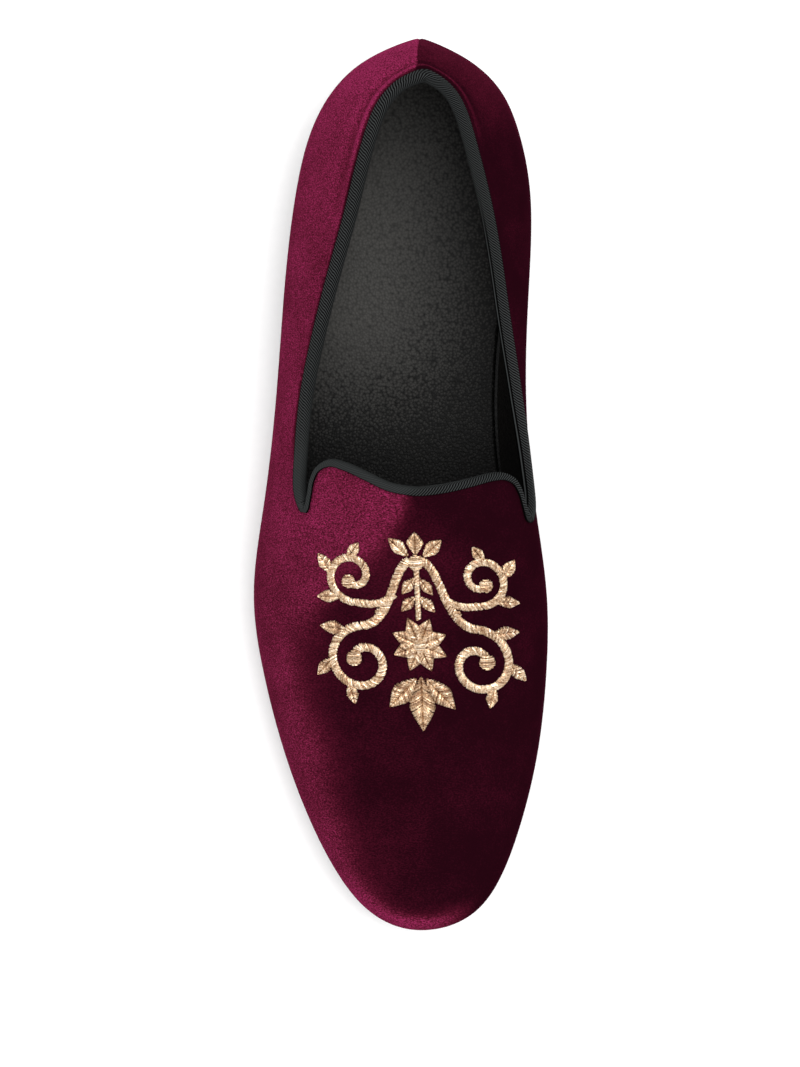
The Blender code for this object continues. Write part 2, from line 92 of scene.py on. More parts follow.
# Mesh density: spacing and reaches of the velvet's net, cuts of its triangles' sides, the strip that the
# ribbon covers, columns beside the heel seam, and steps round the sole, the heel's breast and round edges.
EDGE_STEPS = 8
NET_SPACING = 4.8
NET_REACHES = (0.07, 0.14, 0.21, 0.28, 0.35, 0.42, 0.48, 0.54, 0.59, 0.64, 0.68, 0.72, 0.76, 0.8, 0.84,
               0.88, 0.92, 0.96)
NET_ENDS_AT = 0.98
NET_CLEARANCE = 2.2
NET_CUTS = 4
COVERED_STRIP = 1.2
SEAM_COLUMNS = (0.6, 1.4, 2.8)
SEAM_SPACING = 3.0
SOLE_SEGMENTS = 240
BREAST_SEGMENTS = 12
ROUND_STEPS = 4

# Numerical care: rounds of interval halving, the reaches it searches between, samples along a ring before
# it is cut into even lengths, the step that normals are measured over, the distance that welds two points,
# the kind of triangulation that stays inside its bounds, and the angle from which an edge is drawn sharp.
HALVINGS = 40
LEAST_REACH = 1e-7
MOST_REACH = 2.0
RING_SAMPLES = 721
NORMAL_STEP = 0.2
WELD = 1e-5
INSIDE_BOUNDS = 1
SHARP_DEGREES = 50

# A rib of the last, placed by where it meets the widest line: half widths, the share that the feather line
# stands in, the height of the widest line over it, and how far the wall runs straight before it turns in.
Rib = namedtuple(
    "Rib", "along lateral medial lateral_tuck medial_tuck lateral_rise medial_rise lateral_full medial_full"
)
RIBS = [
    Rib(0.0, 0.0, 0.0, 0.08, 0.08, 18.0, 18.0, 0.43, 0.43),
    Rib(2.0, 7.9, 7.0, 0.08, 0.08, 18.0, 18.0, 0.44, 0.44),
    Rib(8.0, 19.5, 17.7, 0.08, 0.08, 17.7, 18.1, 0.44, 0.46),
    Rib(17.0, 28.7, 26.5, 0.08, 0.08, 17.3, 18.3, 0.39, 0.44),
    Rib(30.0, 35.6, 32.1, 0.08, 0.09, 16.7, 18.8, 0.33, 0.42),
    Rib(50.0, 40.5, 35.8, 0.09, 0.11, 16.0, 20.5, 0.29, 0.38),
    Rib(80.0, 44.2, 35.4, 0.10, 0.18, 15.2, 26.5, 0.32, 0.34),
    Rib(115.0, 47.1, 34.5, 0.10, 0.24, 15.8, 36.5, 0.45, 0.37),
    Rib(150.0, 51.3, 37.3, 0.09, 0.21, 16.5, 39.0, 0.53, 0.58),
    Rib(180.0, 54.9, 41.1, 0.07, 0.11, 14.8, 24.0, 0.57, 0.60),
    Rib(205.0, 51.9, 41.0, 0.07, 0.08, 13.5, 16.0, 0.60, 0.61),
    Rib(230.0, 45.5, 38.4, 0.07, 0.08, 12.9, 13.4, 0.62, 0.62),
    Rib(255.0, 36.1, 32.6, 0.07, 0.08, 12.0, 12.0, 0.64, 0.64),
    Rib(272.0, 27.1, 26.3, 0.08, 0.08, 10.3, 10.3, 0.64, 0.64),
    Rib(284.0, 16.8, 17.6, 0.08, 0.08, 8.8, 8.8, 0.64, 0.64),
    Rib(290.0, 0.0, 0.0, 0.08, 0.08, 8.2, 8.2, 0.64, 0.64),
]

# The last's top line: its height over the floor and how far it lies to the medial side.
RidgePoint = namedtuple("RidgePoint", "along height across")
RIDGE = [
    RidgePoint(26.0, 87.0, 4.5),
    RidgePoint(55.0, 84.5, 1.0),
    RidgePoint(85.0, 83.0, 0.0),
    RidgePoint(118.0, 80.0, 0.0),
    RidgePoint(147.0, 74.0, 0.0),
    RidgePoint(165.0, 67.0, 0.0),
    RidgePoint(185.0, 58.0, 0.0),
    RidgePoint(205.0, 50.2, 0.0),
    RidgePoint(230.0, 43.0, 0.0),
    RidgePoint(250.0, 38.4, 0.0),
    RidgePoint(268.0, 34.5, 0.0),
]

# The top edge of the upper, once round from the heel seam. A row is set on one side of the shoe, by its
# height on the collar and by its place across round the heel and the throat.
LATERAL, MEDIAL = -1, 1
HeightRow = namedtuple("HeightRow", "side along height")
AcrossRow = namedtuple("AcrossRow", "side along across")
TOP_EDGE = [
    HeightRow(LATERAL, 0.0, 80.6),
    AcrossRow(LATERAL, 17.3, 3.6),
    AcrossRow(LATERAL, 20.3, 7.6),
    AcrossRow(LATERAL, 25.8, 11.6),
    HeightRow(LATERAL, 34.0, 73.9),
    HeightRow(LATERAL, 55.0, 69.1),
    HeightRow(LATERAL, 85.0, 61.8),
    HeightRow(LATERAL, 115.0, 57.1),
    HeightRow(LATERAL, 136.0, 56.0),
    HeightRow(LATERAL, 146.6, 55.9),
    HeightRow(LATERAL, 151.8, 57.2),
    HeightRow(LATERAL, 147.6, 58.9),
    HeightRow(LATERAL, 143.4, 60.0),
    HeightRow(LATERAL, 139.3, 62.2),
    AcrossRow(LATERAL, 137.2, 28.3),
    AcrossRow(LATERAL, 138.4, 23.0),
    AcrossRow(LATERAL, 141.6, 16.0),
    AcrossRow(LATERAL, 145.0, 8.5),
    AcrossRow(MEDIAL, 146.4, 0.0),
    AcrossRow(MEDIAL, 145.5, 8.5),
    AcrossRow(MEDIAL, 143.6, 16.8),
    AcrossRow(MEDIAL, 141.7, 23.8),
    AcrossRow(MEDIAL, 141.5, 27.8),
    AcrossRow(MEDIAL, 143.1, 30.8),
    AcrossRow(MEDIAL, 146.4, 32.7),
    AcrossRow(MEDIAL, 150.4, 33.9),
    AcrossRow(MEDIAL, 154.3, 35.4),
    HeightRow(MEDIAL, 149.4, 52.4),
    HeightRow(MEDIAL, 138.0, 54.4),
    HeightRow(MEDIAL, 115.0, 57.4),
    HeightRow(MEDIAL, 85.0, 62.7),
    HeightRow(MEDIAL, 55.0, 69.7),
    HeightRow(MEDIAL, 34.0, 75.3),
    AcrossRow(MEDIAL, 25.7, 13.6),
    AcrossRow(MEDIAL, 20.2, 10.4),
    AcrossRow(MEDIAL, 17.0, 6.6),
]

# The padded roll beside the ribbon and the crease behind it: how far from the ribbon, how wide, how high,
# and how strong a painted highlight on the roll and a painted shade in the crease each gets. They fade out
# along the collar, sooner on the medial side.
ROLL_AT, ROLL_WIDTH, ROLL_HEIGHT, ROLL_HIGHLIGHT = 2.4, 1.8, 0.6, 0.16
CREASE_AT, CREASE_WIDTH, CREASE_DEPTH, CREASE_SHADE = 6.0, 1.6, 0.6, 0.2
ROLL_FADES = {LATERAL: (22.0, 75.0), MEDIAL: (18.0, 45.0)}
ROLL_RINGS = (2.6, 3.8, 5.2, 6.6, 8.0, 9.4, 10.8)
ROLL_RING_CLEARANCE = 1.6

# A painted shadow darkens the pile along the ribbon's seam, as far as the throat. Its width is what shows
# from above beside the ribbon.
SEAM_WIDTH, SEAM_SHADOW, SEAM_FROM, SEAM_TO = 0.7, 0.6, 125.0, 140.0

# The velvet's tone: partly its nap, partly painted light and shade. It is painted dark where its normal
# leans to the medial side and steps to a painted bright tone on the lateral side, at a slope across that
# changes along the shoe. The tips of toe and heel carry a painted highlight, and under the widest line all
# tones draw near to one.
NAP_LIGHT_LEVEL, NAP_LIGHT_SLOPE = 0.07, 0.3
NapLightRow = namedtuple("NapLightRow", "along step_at width bright")
NAP_LIGHT_ROWS = [
    NapLightRow(110.0, -0.05, 0.12, 0.72),
    NapLightRow(152.0, -0.06, 0.13, 0.71),
    NapLightRow(170.0, -0.2, 0.2, 0.68),
    NapLightRow(186.0, -0.44, 0.3, 0.65),
    NapLightRow(202.0, -0.52, 0.38, 0.65),
    NapLightRow(236.0, -0.39, 0.46, 0.67),
    NapLightRow(264.0, -0.37, 0.56, 0.72),
]
PAINTED_RIM_HIGHLIGHT, PAINTED_RIM_FROM, PAINTED_RIM_TO, PAINTED_RIM_ENDS = 0.9, 0.32, 0.68, 0.8
NapLightHeel = namedtuple("NapLightHeel", "tone reach")
NAP_LIGHT_HEELS = {LATERAL: NapLightHeel(0.98, 55.0), MEDIAL: NapLightHeel(0.36, 65.0)}
NAP_LIGHT_UNDER, NAP_LIGHT_UNDER_SHARE, NAP_LIGHT_UNDER_FROM, NAP_LIGHT_UNDER_TO = 0.5, 0.6, 0.25, -0.1

# The heel seam: a soft keel with a sunk stitch line.
KEEL_WIDTH, KEEL_HEIGHT = 2.6, 0.3
STITCH_LINE_WIDTH, STITCH_LINE_DEPTH = 0.4, 0.25

# The ribbon's section from its outer leg over the fold to its inner leg: the share of the leg that lies
# under a row, the turn round the fold, and the row's look on each side. A look is a tone and a depth of
# ribs; the tone carries painted light and shade. A painted shadow darkens the ribbon's edge where it is
# sewn to the velvet and the inner leg's edge, and on the medial side painted shade darkens the inside of
# the fold round a thin painted highlight along its inner selvedge.
RibbonLook = namedtuple("RibbonLook", "tone ribs")
RIBBED = RibbonLook(0.5, 1.0)
SMOOTH = RibbonLook(0.55, 0.0)
SELVEDGE = RibbonLook(0.85, 0.0)
PAINTED_SHADE_LOOK = RibbonLook(0.0, 0.0)
RibbonRow = namedtuple("RibbonRow", "share degrees lateral medial")
RIBBON_ROWS = [
    RibbonRow(1.0, 0.0, PAINTED_SHADE_LOOK, PAINTED_SHADE_LOOK),
    *(RibbonRow(share, 0.0, RIBBED, RIBBED) for share in (0.85, 0.4, 0.0)),
    *(RibbonRow(0.0, degrees, RIBBED, RIBBED) for degrees in (36.0, 66.0, 80.0)),
    *(RibbonRow(0.0, degrees, RIBBED, PAINTED_SHADE_LOOK) for degrees in (87.0, 102.0)),
    RibbonRow(0.0, 106.0, RIBBED, SELVEDGE),
    RibbonRow(0.0, 120.0, SMOOTH, SELVEDGE),
    *(RibbonRow(0.0, degrees, SMOOTH, PAINTED_SHADE_LOOK) for degrees in (127.0, 150.0, 180.0)),
    RibbonRow(1.0, 180.0, PAINTED_SHADE_LOOK, PAINTED_SHADE_LOOK),
]

# The embroidery on the vamp, one half of a mirrored arabesque. Places are to the medial side and towards
# the toe from its middle, and angles are from the medial side towards the toe. The whole leans by so many
# degrees, its toe end to the medial side and its medial half towards the toe.
DESIGN_ACROSS, DESIGN_ALONG, DESIGN_LEAN = 0.3, 193.7, 2.0
PADDING_LEAST, PADDING_SHARE = 0.3, 0.2
Stitch = namedtuple("Stitch", "is_chevron slant lift tone")
VINE = Stitch(False, 0.6, 0.0, 0.58)
LEAF = Stitch(True, 0.6, 0.05, 0.45)
BERRY = Stitch(False, 0.1, 0.3, 0.55)
Scroll = namedtuple("Scroll", "across along outer inner start sweep half_width eye")
SCROLLS = [
    Scroll(18.5, 8.0, 11.5, 3.0, -90.0, 430.0, 1.35, 2.5),
    Scroll(20.5, -19.5, 8.5, 2.2, 90.0, -400.0, 1.2, 2.1),
]
Stem = namedtuple("Stem", "start leave arrive end half_width")
STEMS = [
    Stem((1.5, -25.0), (8.0, -24.0), (8.0, -4.0), (18.5, -3.5), 1.4),
    Stem((7.5, -14.0), (12.0, -9.5), (16.0, -10.6), (20.5, -11.0), 1.2),
    Stem((0.0, -23.0), (0.0, -17.0), (0.0, -12.0), (0.0, -6.0), 0.9),
]
ScrollLeaf = namedtuple("ScrollLeaf", "scroll share lean length width")
SCROLL_LEAVES = [
    ScrollLeaf(0, 0.06, -40.0, 8.5, 4.0),
    ScrollLeaf(0, 0.2, -45.0, 7.5, 3.8),
    ScrollLeaf(0, 0.34, -50.0, 7.0, 3.6),
    ScrollLeaf(1, 0.08, 40.0, 7.5, 3.6),
    ScrollLeaf(1, 0.24, 45.0, 7.0, 3.6),
    ScrollLeaf(1, 0.42, 50.0, 6.0, 3.2),
]
Leaf = namedtuple("Leaf", "across along degrees length width")
LEAVES = [
    *(Leaf(0.0, 2.0, 22.5 + 45 * number, 9.0, 4.6) for number in range(-2, 2)),
    Leaf(0.0, 12.5, 90.0, 17.5, 8.0),
    Leaf(1.6, 13.0, 47.0, 13.0, 6.4),
    Leaf(0.8, -19.5, 52.0, 6.5, 3.2),
    Leaf(0.8, -13.5, 46.0, 6.5, 3.2),
    Leaf(2.4, -26.5, -42.0, 8.0, 4.0),
    Leaf(0.0, -27.0, -90.0, 7.0, 5.0),
]
Berry = namedtuple("Berry", "across along radius")
BERRIES = [
    Berry(0.0, 2.0, 2.3),
    Berry(0.0, -24.6, 2.5),
    Berry(12.5, -8.2, 1.2),
]


def smooth_through(places, values):
    """A natural cubic spline through the points, as a function that takes arrays."""
    x = np.array(places, float)
    y = np.array(values, float)
    count = len(x)
    step = np.diff(x)
    matrix = np.eye(count)
    right = np.zeros(count)
    for i in range(1, count - 1):
        matrix[i, i - 1 : i + 2] = step[i - 1], 2 * (step[i - 1] + step[i]), step[i]
        right[i] = 6 * ((y[i + 1] - y[i]) / step[i] - (y[i] - y[i - 1]) / step[i - 1])
    bend = np.linalg.solve(matrix, right)

    def at(place):
        i = np.clip(np.searchsorted(x, place) - 1, 0, count - 2)
        before = x[i + 1] - place
        after = place - x[i]
        cubic = (bend[i] * before**3 + bend[i + 1] * after**3) / (6 * step[i])
        start = (y[i] / step[i] - bend[i] * step[i] / 6) * before
        end = (y[i + 1] / step[i] - bend[i + 1] * step[i] / 6) * after
        return cubic + start + end

    return at


def turn_at(along):
    """The turn round the last, 0 at the heel seam and pi at the toe tip, of a rib at this place."""
    return np.arccos(np.clip(1 - 2 * np.asarray(along, float) / LENGTH, -1, 1))


def rib_column(name):
    """One column of the rib table as a smooth function of the turn."""
    turns = turn_at([rib.along for rib in RIBS])
    return smooth_through(turns, [getattr(rib, name) for rib in RIBS])


HALF = {LATERAL: rib_column("lateral"), MEDIAL: rib_column("medial")}
TUCK = {LATERAL: rib_column("lateral_tuck"), MEDIAL: rib_column("medial_tuck")}
RISE = {LATERAL: rib_column("lateral_rise"), MEDIAL: rib_column("medial_rise")}
FULL = {LATERAL: rib_column("lateral_full"), MEDIAL: rib_column("medial_full")}
ridge_height = smooth_through([point.along for point in RIDGE], [point.height for point in RIDGE])
ridge_across = smooth_through([point.along for point in RIDGE], [point.across for point in RIDGE])
RIDGE_MIDDLE = (RIDGE_START + RIDGE_END) / 2
RIDGE_HALF = (RIDGE_END - RIDGE_START) / 2


def eased(share):
    """A smooth step from 0 to 1."""
    share = np.clip(share, 0, 1)
    return share * share * (3 - 2 * share)


def between(value, start, end):
    """A smooth step from 0 at the start to 1 at the end."""
    return eased((value - start) / (end - start))


def hump(distance, width):
    """A soft rise of height 1 that is this wide to each side."""
    return np.exp(-((distance / width) ** 2))


def unit(vectors):
    """Vectors of length 1 that point the same way."""
    return vectors / np.linalg.norm(vectors, axis=-1, keepdims=True)


def cubic(t, start, leave, arrive, end):
    """Points of a cubic Bezier curve."""
    first = (1 - t) ** 3 * start + 3 * t * (1 - t) ** 2 * leave
    return first + 3 * t**2 * (1 - t) * arrive + t**3 * end


def seat_height(along):
    """The feather line's height: flat heel seat, arch, flat ball and toe spring."""
    arch = between(along, SEAT_ENDS_AT, BALL_STARTS_AT)
    spring = np.clip((along - BALL_ENDS_AT) / (LENGTH - BALL_ENDS_AT), 0, None) ** 2
    return HEEL_SEAT + (BALL_SEAT - HEEL_SEAT) * arch + TOE_SPRING * spring


def by_side(columns, turn):
    """A rib column at each turn, from the lateral table up to the toe and the medial one past it."""
    folded = np.where(turn <= math.pi, turn, 2 * math.pi - turn)
    return np.where(turn <= math.pi, columns[LATERAL](folded), columns[MEDIAL](folded))


def feather_line(turn):
    """Across and along of the feather line."""
    side = np.where(turn <= math.pi, LATERAL, MEDIAL)
    across = side * by_side(HALF, turn) * (1 - by_side(TUCK, turn))
    along = END_TUCK + (LENGTH - 2 * END_TUCK) / 2 * (1 - np.cos(turn))
    return across, along


def stacked(across, along, up):
    return np.stack(np.broadcast_arrays(across, along, up), axis=-1)


def last_surface(turn, reach):
    """Points of the upper's outside.

    Reach is 0 on the ridge, BULGE_REACH on the widest line and 1 on the feather line.
    """
    turn = np.asarray(turn, float)
    reach = np.asarray(reach, float)
    side = np.where(turn <= math.pi, LATERAL, MEDIAL)
    bulge_along = LENGTH / 2 * (1 - np.cos(turn))
    bulge_up = seat_height(bulge_along) + by_side(RISE, turn)
    bulge = stacked(side * by_side(HALF, turn), bulge_along, bulge_up)
    feather_across, feather_along = feather_line(turn)
    feather = stacked(feather_across, feather_along, seat_height(feather_along))
    ridge_along = RIDGE_MIDDLE - RIDGE_HALF * np.cos(turn)
    ridge = stacked(ridge_across(ridge_along), ridge_along, ridge_height(ridge_along))

    # From the widest line a Bezier curve leaves upright and arrives level along the ridge.
    full = by_side(FULL, turn)
    upright = bulge.copy()
    upright[..., 2] += full * (ridge[..., 2] - bulge[..., 2])
    level = ridge + full[..., None] * (bulge - ridge)
    slope = (ridge_height(ridge_along + 1) - ridge_height(ridge_along - 1)) / 2
    level[..., 2] = ridge[..., 2] + slope * (level[..., 1] - ridge_along)
    t = np.clip(1 - reach / BULGE_REACH, 0, 1)[..., None]
    wall = cubic(t, bulge, upright, level, ridge)

    # Below the widest line the wall drops upright and tucks in to the feather line.
    corner = bulge.copy()
    corner[..., 2] -= TUCK_CONTROL * (bulge[..., 2] - feather[..., 2])
    d = np.clip((reach - BULGE_REACH) / (1 - BULGE_REACH), 0, 1)[..., None]
    tucked = (1 - d) ** 2 * bulge + 2 * d * (1 - d) * corner + d**2 * feather
    return np.where(reach[..., None] <= BULGE_REACH, wall, tucked)


def laid_flat(turn, reach):
    """Place on the flat pattern: along the ridge and across it, lateral side negative."""
    depth = GIRTH_DEPTH * np.asarray(reach, float)
    along = RIDGE_MIDDLE - (RIDGE_HALF + depth) * np.cos(turn)
    return np.stack(np.broadcast_arrays(along, -depth * np.sin(turn)), axis=-1)


def halved(low, high, is_low):
    """The places between low and high where is_low changes from true to false."""
    for _ in range(HALVINGS):
        middle = (low + high) / 2
        still_low = is_low(middle)
        low = np.where(still_low, middle, low)
        high = np.where(still_low, high, middle)
    return (low + high) / 2


def from_flat(flat):
    """Turn and reach of places on the flat pattern."""
    along = flat[..., 0] - RIDGE_MIDDLE
    across = flat[..., 1]

    def is_outside(reach):
        depth = GIRTH_DEPTH * reach
        return (along / (RIDGE_HALF + depth)) ** 2 + (across / depth) ** 2 > 1

    reach = halved(np.full(along.shape, LEAST_REACH), np.full(along.shape, MOST_REACH), is_outside)
    folded = np.arccos(np.clip(-along / (RIDGE_HALF + GIRTH_DEPTH * reach), -1, 1))
    return np.where(across > 0, 2 * math.pi - folded, folded), reach


def on_last(flat):
    return last_surface(*from_flat(flat))


def rows_on_last():
    """Turn and reach of the rows of the top edge."""
    count = len(TOP_EDGE)
    side = np.array([row.side for row in TOP_EDGE])
    along = np.array([row.along for row in TOP_EDGE])
    by_height = np.array([isinstance(row, HeightRow) for row in TOP_EDGE])
    target = np.array([-row.height if isinstance(row, HeightRow) else row.across for row in TOP_EDGE])

    def place(folded):
        turn = np.where(side == LATERAL, folded, 2 * math.pi - folded)

        def is_above(reach):
            point = last_surface(turn, reach)
            return np.where(by_height, -point[:, 2], side * point[:, 0]) < target

        return turn, halved(np.zeros(count), np.full(count, BULGE_REACH), is_above)

    def is_behind(folded):
        return last_surface(*place(folded))[:, 1] < along

    return place(halved(np.zeros(count), np.full(count, math.pi), is_behind))


def closed_curve(points, steps):
    """A closed centripetal Catmull-Rom curve through the points, with so many steps to each."""
    count = len(points)
    samples = []
    for i in range(count):
        a, b, c, d = (points[(i + k) % count] for k in (-1, 0, 1, 2))
        t0 = 0.0
        t1 = t0 + np.linalg.norm(b - a) ** 0.5
        t2 = t1 + np.linalg.norm(c - b) ** 0.5
        t3 = t2 + np.linalg.norm(d - c) ** 0.5
        for k in range(steps):
            t = t1 + (t2 - t1) * k / steps
            ab = (a * (t1 - t) + b * (t - t0)) / (t1 - t0)
            bc = (b * (t2 - t) + c * (t - t1)) / (t2 - t1)
            cd = (c * (t3 - t) + d * (t - t2)) / (t3 - t2)
            abc = (ab * (t2 - t) + bc * (t - t0)) / (t2 - t0)
            bcd = (bc * (t3 - t) + cd * (t - t1)) / (t3 - t1)
            samples.append((abc * (t2 - t) + bcd * (t - t1)) / (t2 - t1))
    return np.array(samples)


def way_round(loop):
    """The way past each point of a closed loop, from the point before it to the one after it."""
    return np.roll(loop, -1, axis=0) - np.roll(loop, 1, axis=0)


def square_to(ways):
    """Ways on a plane, each turned by a right angle."""
    return np.stack([-ways[:, 1], ways[:, 0]], axis=1)


def stepped_in(edge, distance):
    """The top edge moved into the material by a true distance on the last."""
    inward = -square_to(unit(way_round(edge)))
    stretch = np.linalg.norm(on_last(edge + inward) - on_last(edge), axis=1, keepdims=True)
    return edge + inward * distance / stretch


def walked_along(line):
    """How far along a line of points each point lies."""
    return np.concatenate([[0.0], np.cumsum(np.linalg.norm(np.diff(line, axis=0), axis=1))])


def places_along(line, walked, distances):
    """Points of a line at distances along it."""
    return np.stack([np.interp(distances, walked, column) for column in line.T], axis=-1)


def even_turns(reach, spacing):
    """Turns that cut the ring at this reach into even lengths, on each side from heel to toe."""
    halves = []
    for start in (0.0, math.pi):
        turn = start + np.linspace(0, math.pi, RING_SAMPLES)
        walked = walked_along(last_surface(turn, reach))
        count = max(2, round(walked[-1] / spacing))
        halves.append(np.interp(np.linspace(0, walked[-1], count)[:-1], walked, turn))
    return np.concatenate(halves)


def lies_inside(points, loop):
    """Whether each point lies inside a closed loop, by counting the sides that a ray crosses."""
    following = np.roll(loop, -1, axis=0)
    x, y = points[:, None, 0], points[:, None, 1]
    spans = (loop[:, 1] > y) != (following[:, 1] > y)
    rise = np.where(following[:, 1] == loop[:, 1], 1.0, following[:, 1] - loop[:, 1])
    crossing = loop[:, 0] + (y - loop[:, 1]) * (following[:, 0] - loop[:, 0]) / rise
    return np.sum(spans & (x < crossing), axis=1) % 2 == 1


def outward_normals(flat):
    """Unit normals of the last, pointing out of the shoe, at places on the flat pattern."""
    along = on_last(flat + [NORMAL_STEP, 0]) - on_last(flat - [NORMAL_STEP, 0])
    across = on_last(flat + [0, NORMAL_STEP]) - on_last(flat - [0, NORMAL_STEP])
    normal = np.cross(across, along)
    outward = np.sign(np.sum(normal * (on_last(flat) - [0, LENGTH / 2, 0]), axis=1, keepdims=True))
    return unit(normal * outward)


def outline_shift():
    """The distance across that brings the middle of the shoe's width to the origin."""
    turn = np.linspace(0, math.pi, RING_SAMPLES)
    return float(HALF[LATERAL](turn).max() - HALF[MEDIAL](turn).max()) / 2


ACROSS_SHIFT = outline_shift()
EDGE_ROWS = laid_flat(*rows_on_last())


def placed(points):
    """Points in millimetres on the last's axes, as world coordinates in metres."""
    across, along, up = np.moveaxis(np.asarray(points, float), -1, 0)
    return np.stack([across + ACROSS_SHIFT, LENGTH / 2 - along, up], axis=-1) * MM


def ring_of(start, count):
    """The edges of a closed ring of points."""
    return [(start + i, start + (i + 1) % count) for i in range(count)]


def linear(hex_colour):
    """An sRGB hex colour as linear red, green, blue and alpha."""
    levels = [int(hex_colour[i : i + 2], 16) / 255 for i in (1, 3, 5)]
    return (*(c / 12.92 if c <= 0.04045 else ((c + 0.055) / 1.055) ** 2.4 for c in levels), 1.0)


def hex_setting(name, description, default):
    return bpy.props.StringProperty(name=name, description=description, default=default)


def length_setting(name, description, default_mm, least_mm):
    return bpy.props.FloatProperty(
        name=name, description=description, default=default_mm * MM, min=least_mm * MM, unit="LENGTH"
    )


class SlipperSizes(bpy.types.PropertyGroup):
    """Sizes that a user would change, in metres of the real thing."""

    rib_pitch: length_setting("Ribbon rib pitch", "Distance between ribs along the ribbon", 0.95, 0.5)
    rib_height: length_setting("Ribbon rib height", "How far the ribbon's ribs stand out", 0.2, 0.0)
    thread_spacing: length_setting("Thread spacing", "Distance between embroidery threads", 0.44, 0.2)
    thread_radius: length_setting("Thread radius", "Half the width of an embroidery thread", 0.27, 0.1)
    pile_grain: length_setting("Pile grain", "Width of the velvet's fine grain", 0.42, 0.2)


class SlipperColours(bpy.types.PropertyGroup):
    """Colours that a user would change, as sRGB hex values."""

    # The velvet's colours are stops along a ramp of painted light and shade, from the painted shade of the
    # medial side to the painted light of the lateral side; the pile's nap is only part of the cause. Tips
    # are the grain's brightest tufts in that painted light.
    velvet_deep: hex_setting("Velvet, deep", "Velvet where its pile faces the eye", "#1b040b")
    velvet_middle: hex_setting("Velvet, middle", "Velvet where its pile starts to turn", "#3b0b1a")
    velvet_side: hex_setting("Velvet, side", "Velvet where its pile shows its side", "#5a182d")
    velvet_bright: hex_setting("Velvet, bright", "Velvet where its pile is brushed up", "#731d40")
    velvet_tips: hex_setting("Velvet, tips", "Single tufts of pile that catch the light", "#8e2853")
    velvet_sheen: hex_setting("Velvet sheen", "Light that the pile's tips catch", "#9c3458")
    ribbon: hex_setting("Ribbon", "Grosgrain of the binding", "#303232")
    sock: hex_setting("Sock leather", "Leather of the insole", "#373634")
    lining: hex_setting("Lining", "Lining of the upper", "#121110")
    sole: hex_setting("Sole leather", "Leather of sole and heel", "#0d0c0b")
    thread: hex_setting("Gold thread", "Metal thread of the embroidery", "#c2a280")
    thread_pale: hex_setting("Pale thread", "Lightest metal thread of the embroidery", "#f2dfc6")
    thread_dark: hex_setting("Dark thread", "Darkest metal thread of the embroidery", "#805a44")
    floor: hex_setting("Floor", "Pale studio floor", "#f9f9f9")


def tint(name):
    """A colour setting as a linear colour."""
    return linear(getattr(bpy.context.scene.slipper_colours, name))


def add(tree, kind, inputs=None, stops=(), output=0, **options):
    """Adds a shader node and gives back one of its outputs.

    Each input is a constant or another node's output, and stops are a ramp's (place, colour) pairs.
    """
    made = tree.nodes.new("ShaderNode" + kind)
    for name, value in options.items():
        setattr(made, name, value)
    for number, (place, colour) in enumerate(stops):
        elements = made.color_ramp.elements
        element = elements[number] if number < len(elements) else elements.new(place)
        element.position = place
        element.color = colour
    for name, value in (inputs or {}).items():
        if isinstance(value, bpy.types.NodeSocket):
            tree.links.new(value, made.inputs[name])
        else:
            made.inputs[name].default_value = value
    return made.outputs[output]


def new_material(name, **sockets):
    """A material and its tree and shader, with constant values on the shader's own sockets."""
    made = bpy.data.materials.new(name)
    made.use_nodes = True
    tree = made.node_tree
    shader = tree.nodes["Principled BSDF"]
    for socket, value in sockets.items():
        shader.inputs[socket.replace("_", " ")].default_value = value
    return made, tree, shader


def shaded(colour, share):
    """A linear colour made lighter or darker by a share of itself."""
    return (*(share * level for level in colour[:3]), 1.0)


def surface(tree, shader, tone, stops, height, strength, depth_mm):
    """Colours a shader by a tone along a ramp and raises it by a height."""
    colour = add(tree, "ValToRGB", {"Fac": tone}, stops)
    tree.links.new(colour, shader.inputs["Base Color"])
    bump = add(tree, "Bump", {"Strength": strength, "Distance": depth_mm * MM, "Height": height})
    tree.links.new(bump, shader.inputs["Normal"])


# Most values of a noise pattern lie in this span, which is spread over the span that a look needs.
NOISE_SPAN = {"From Min": 0.3, "From Max": 0.7}


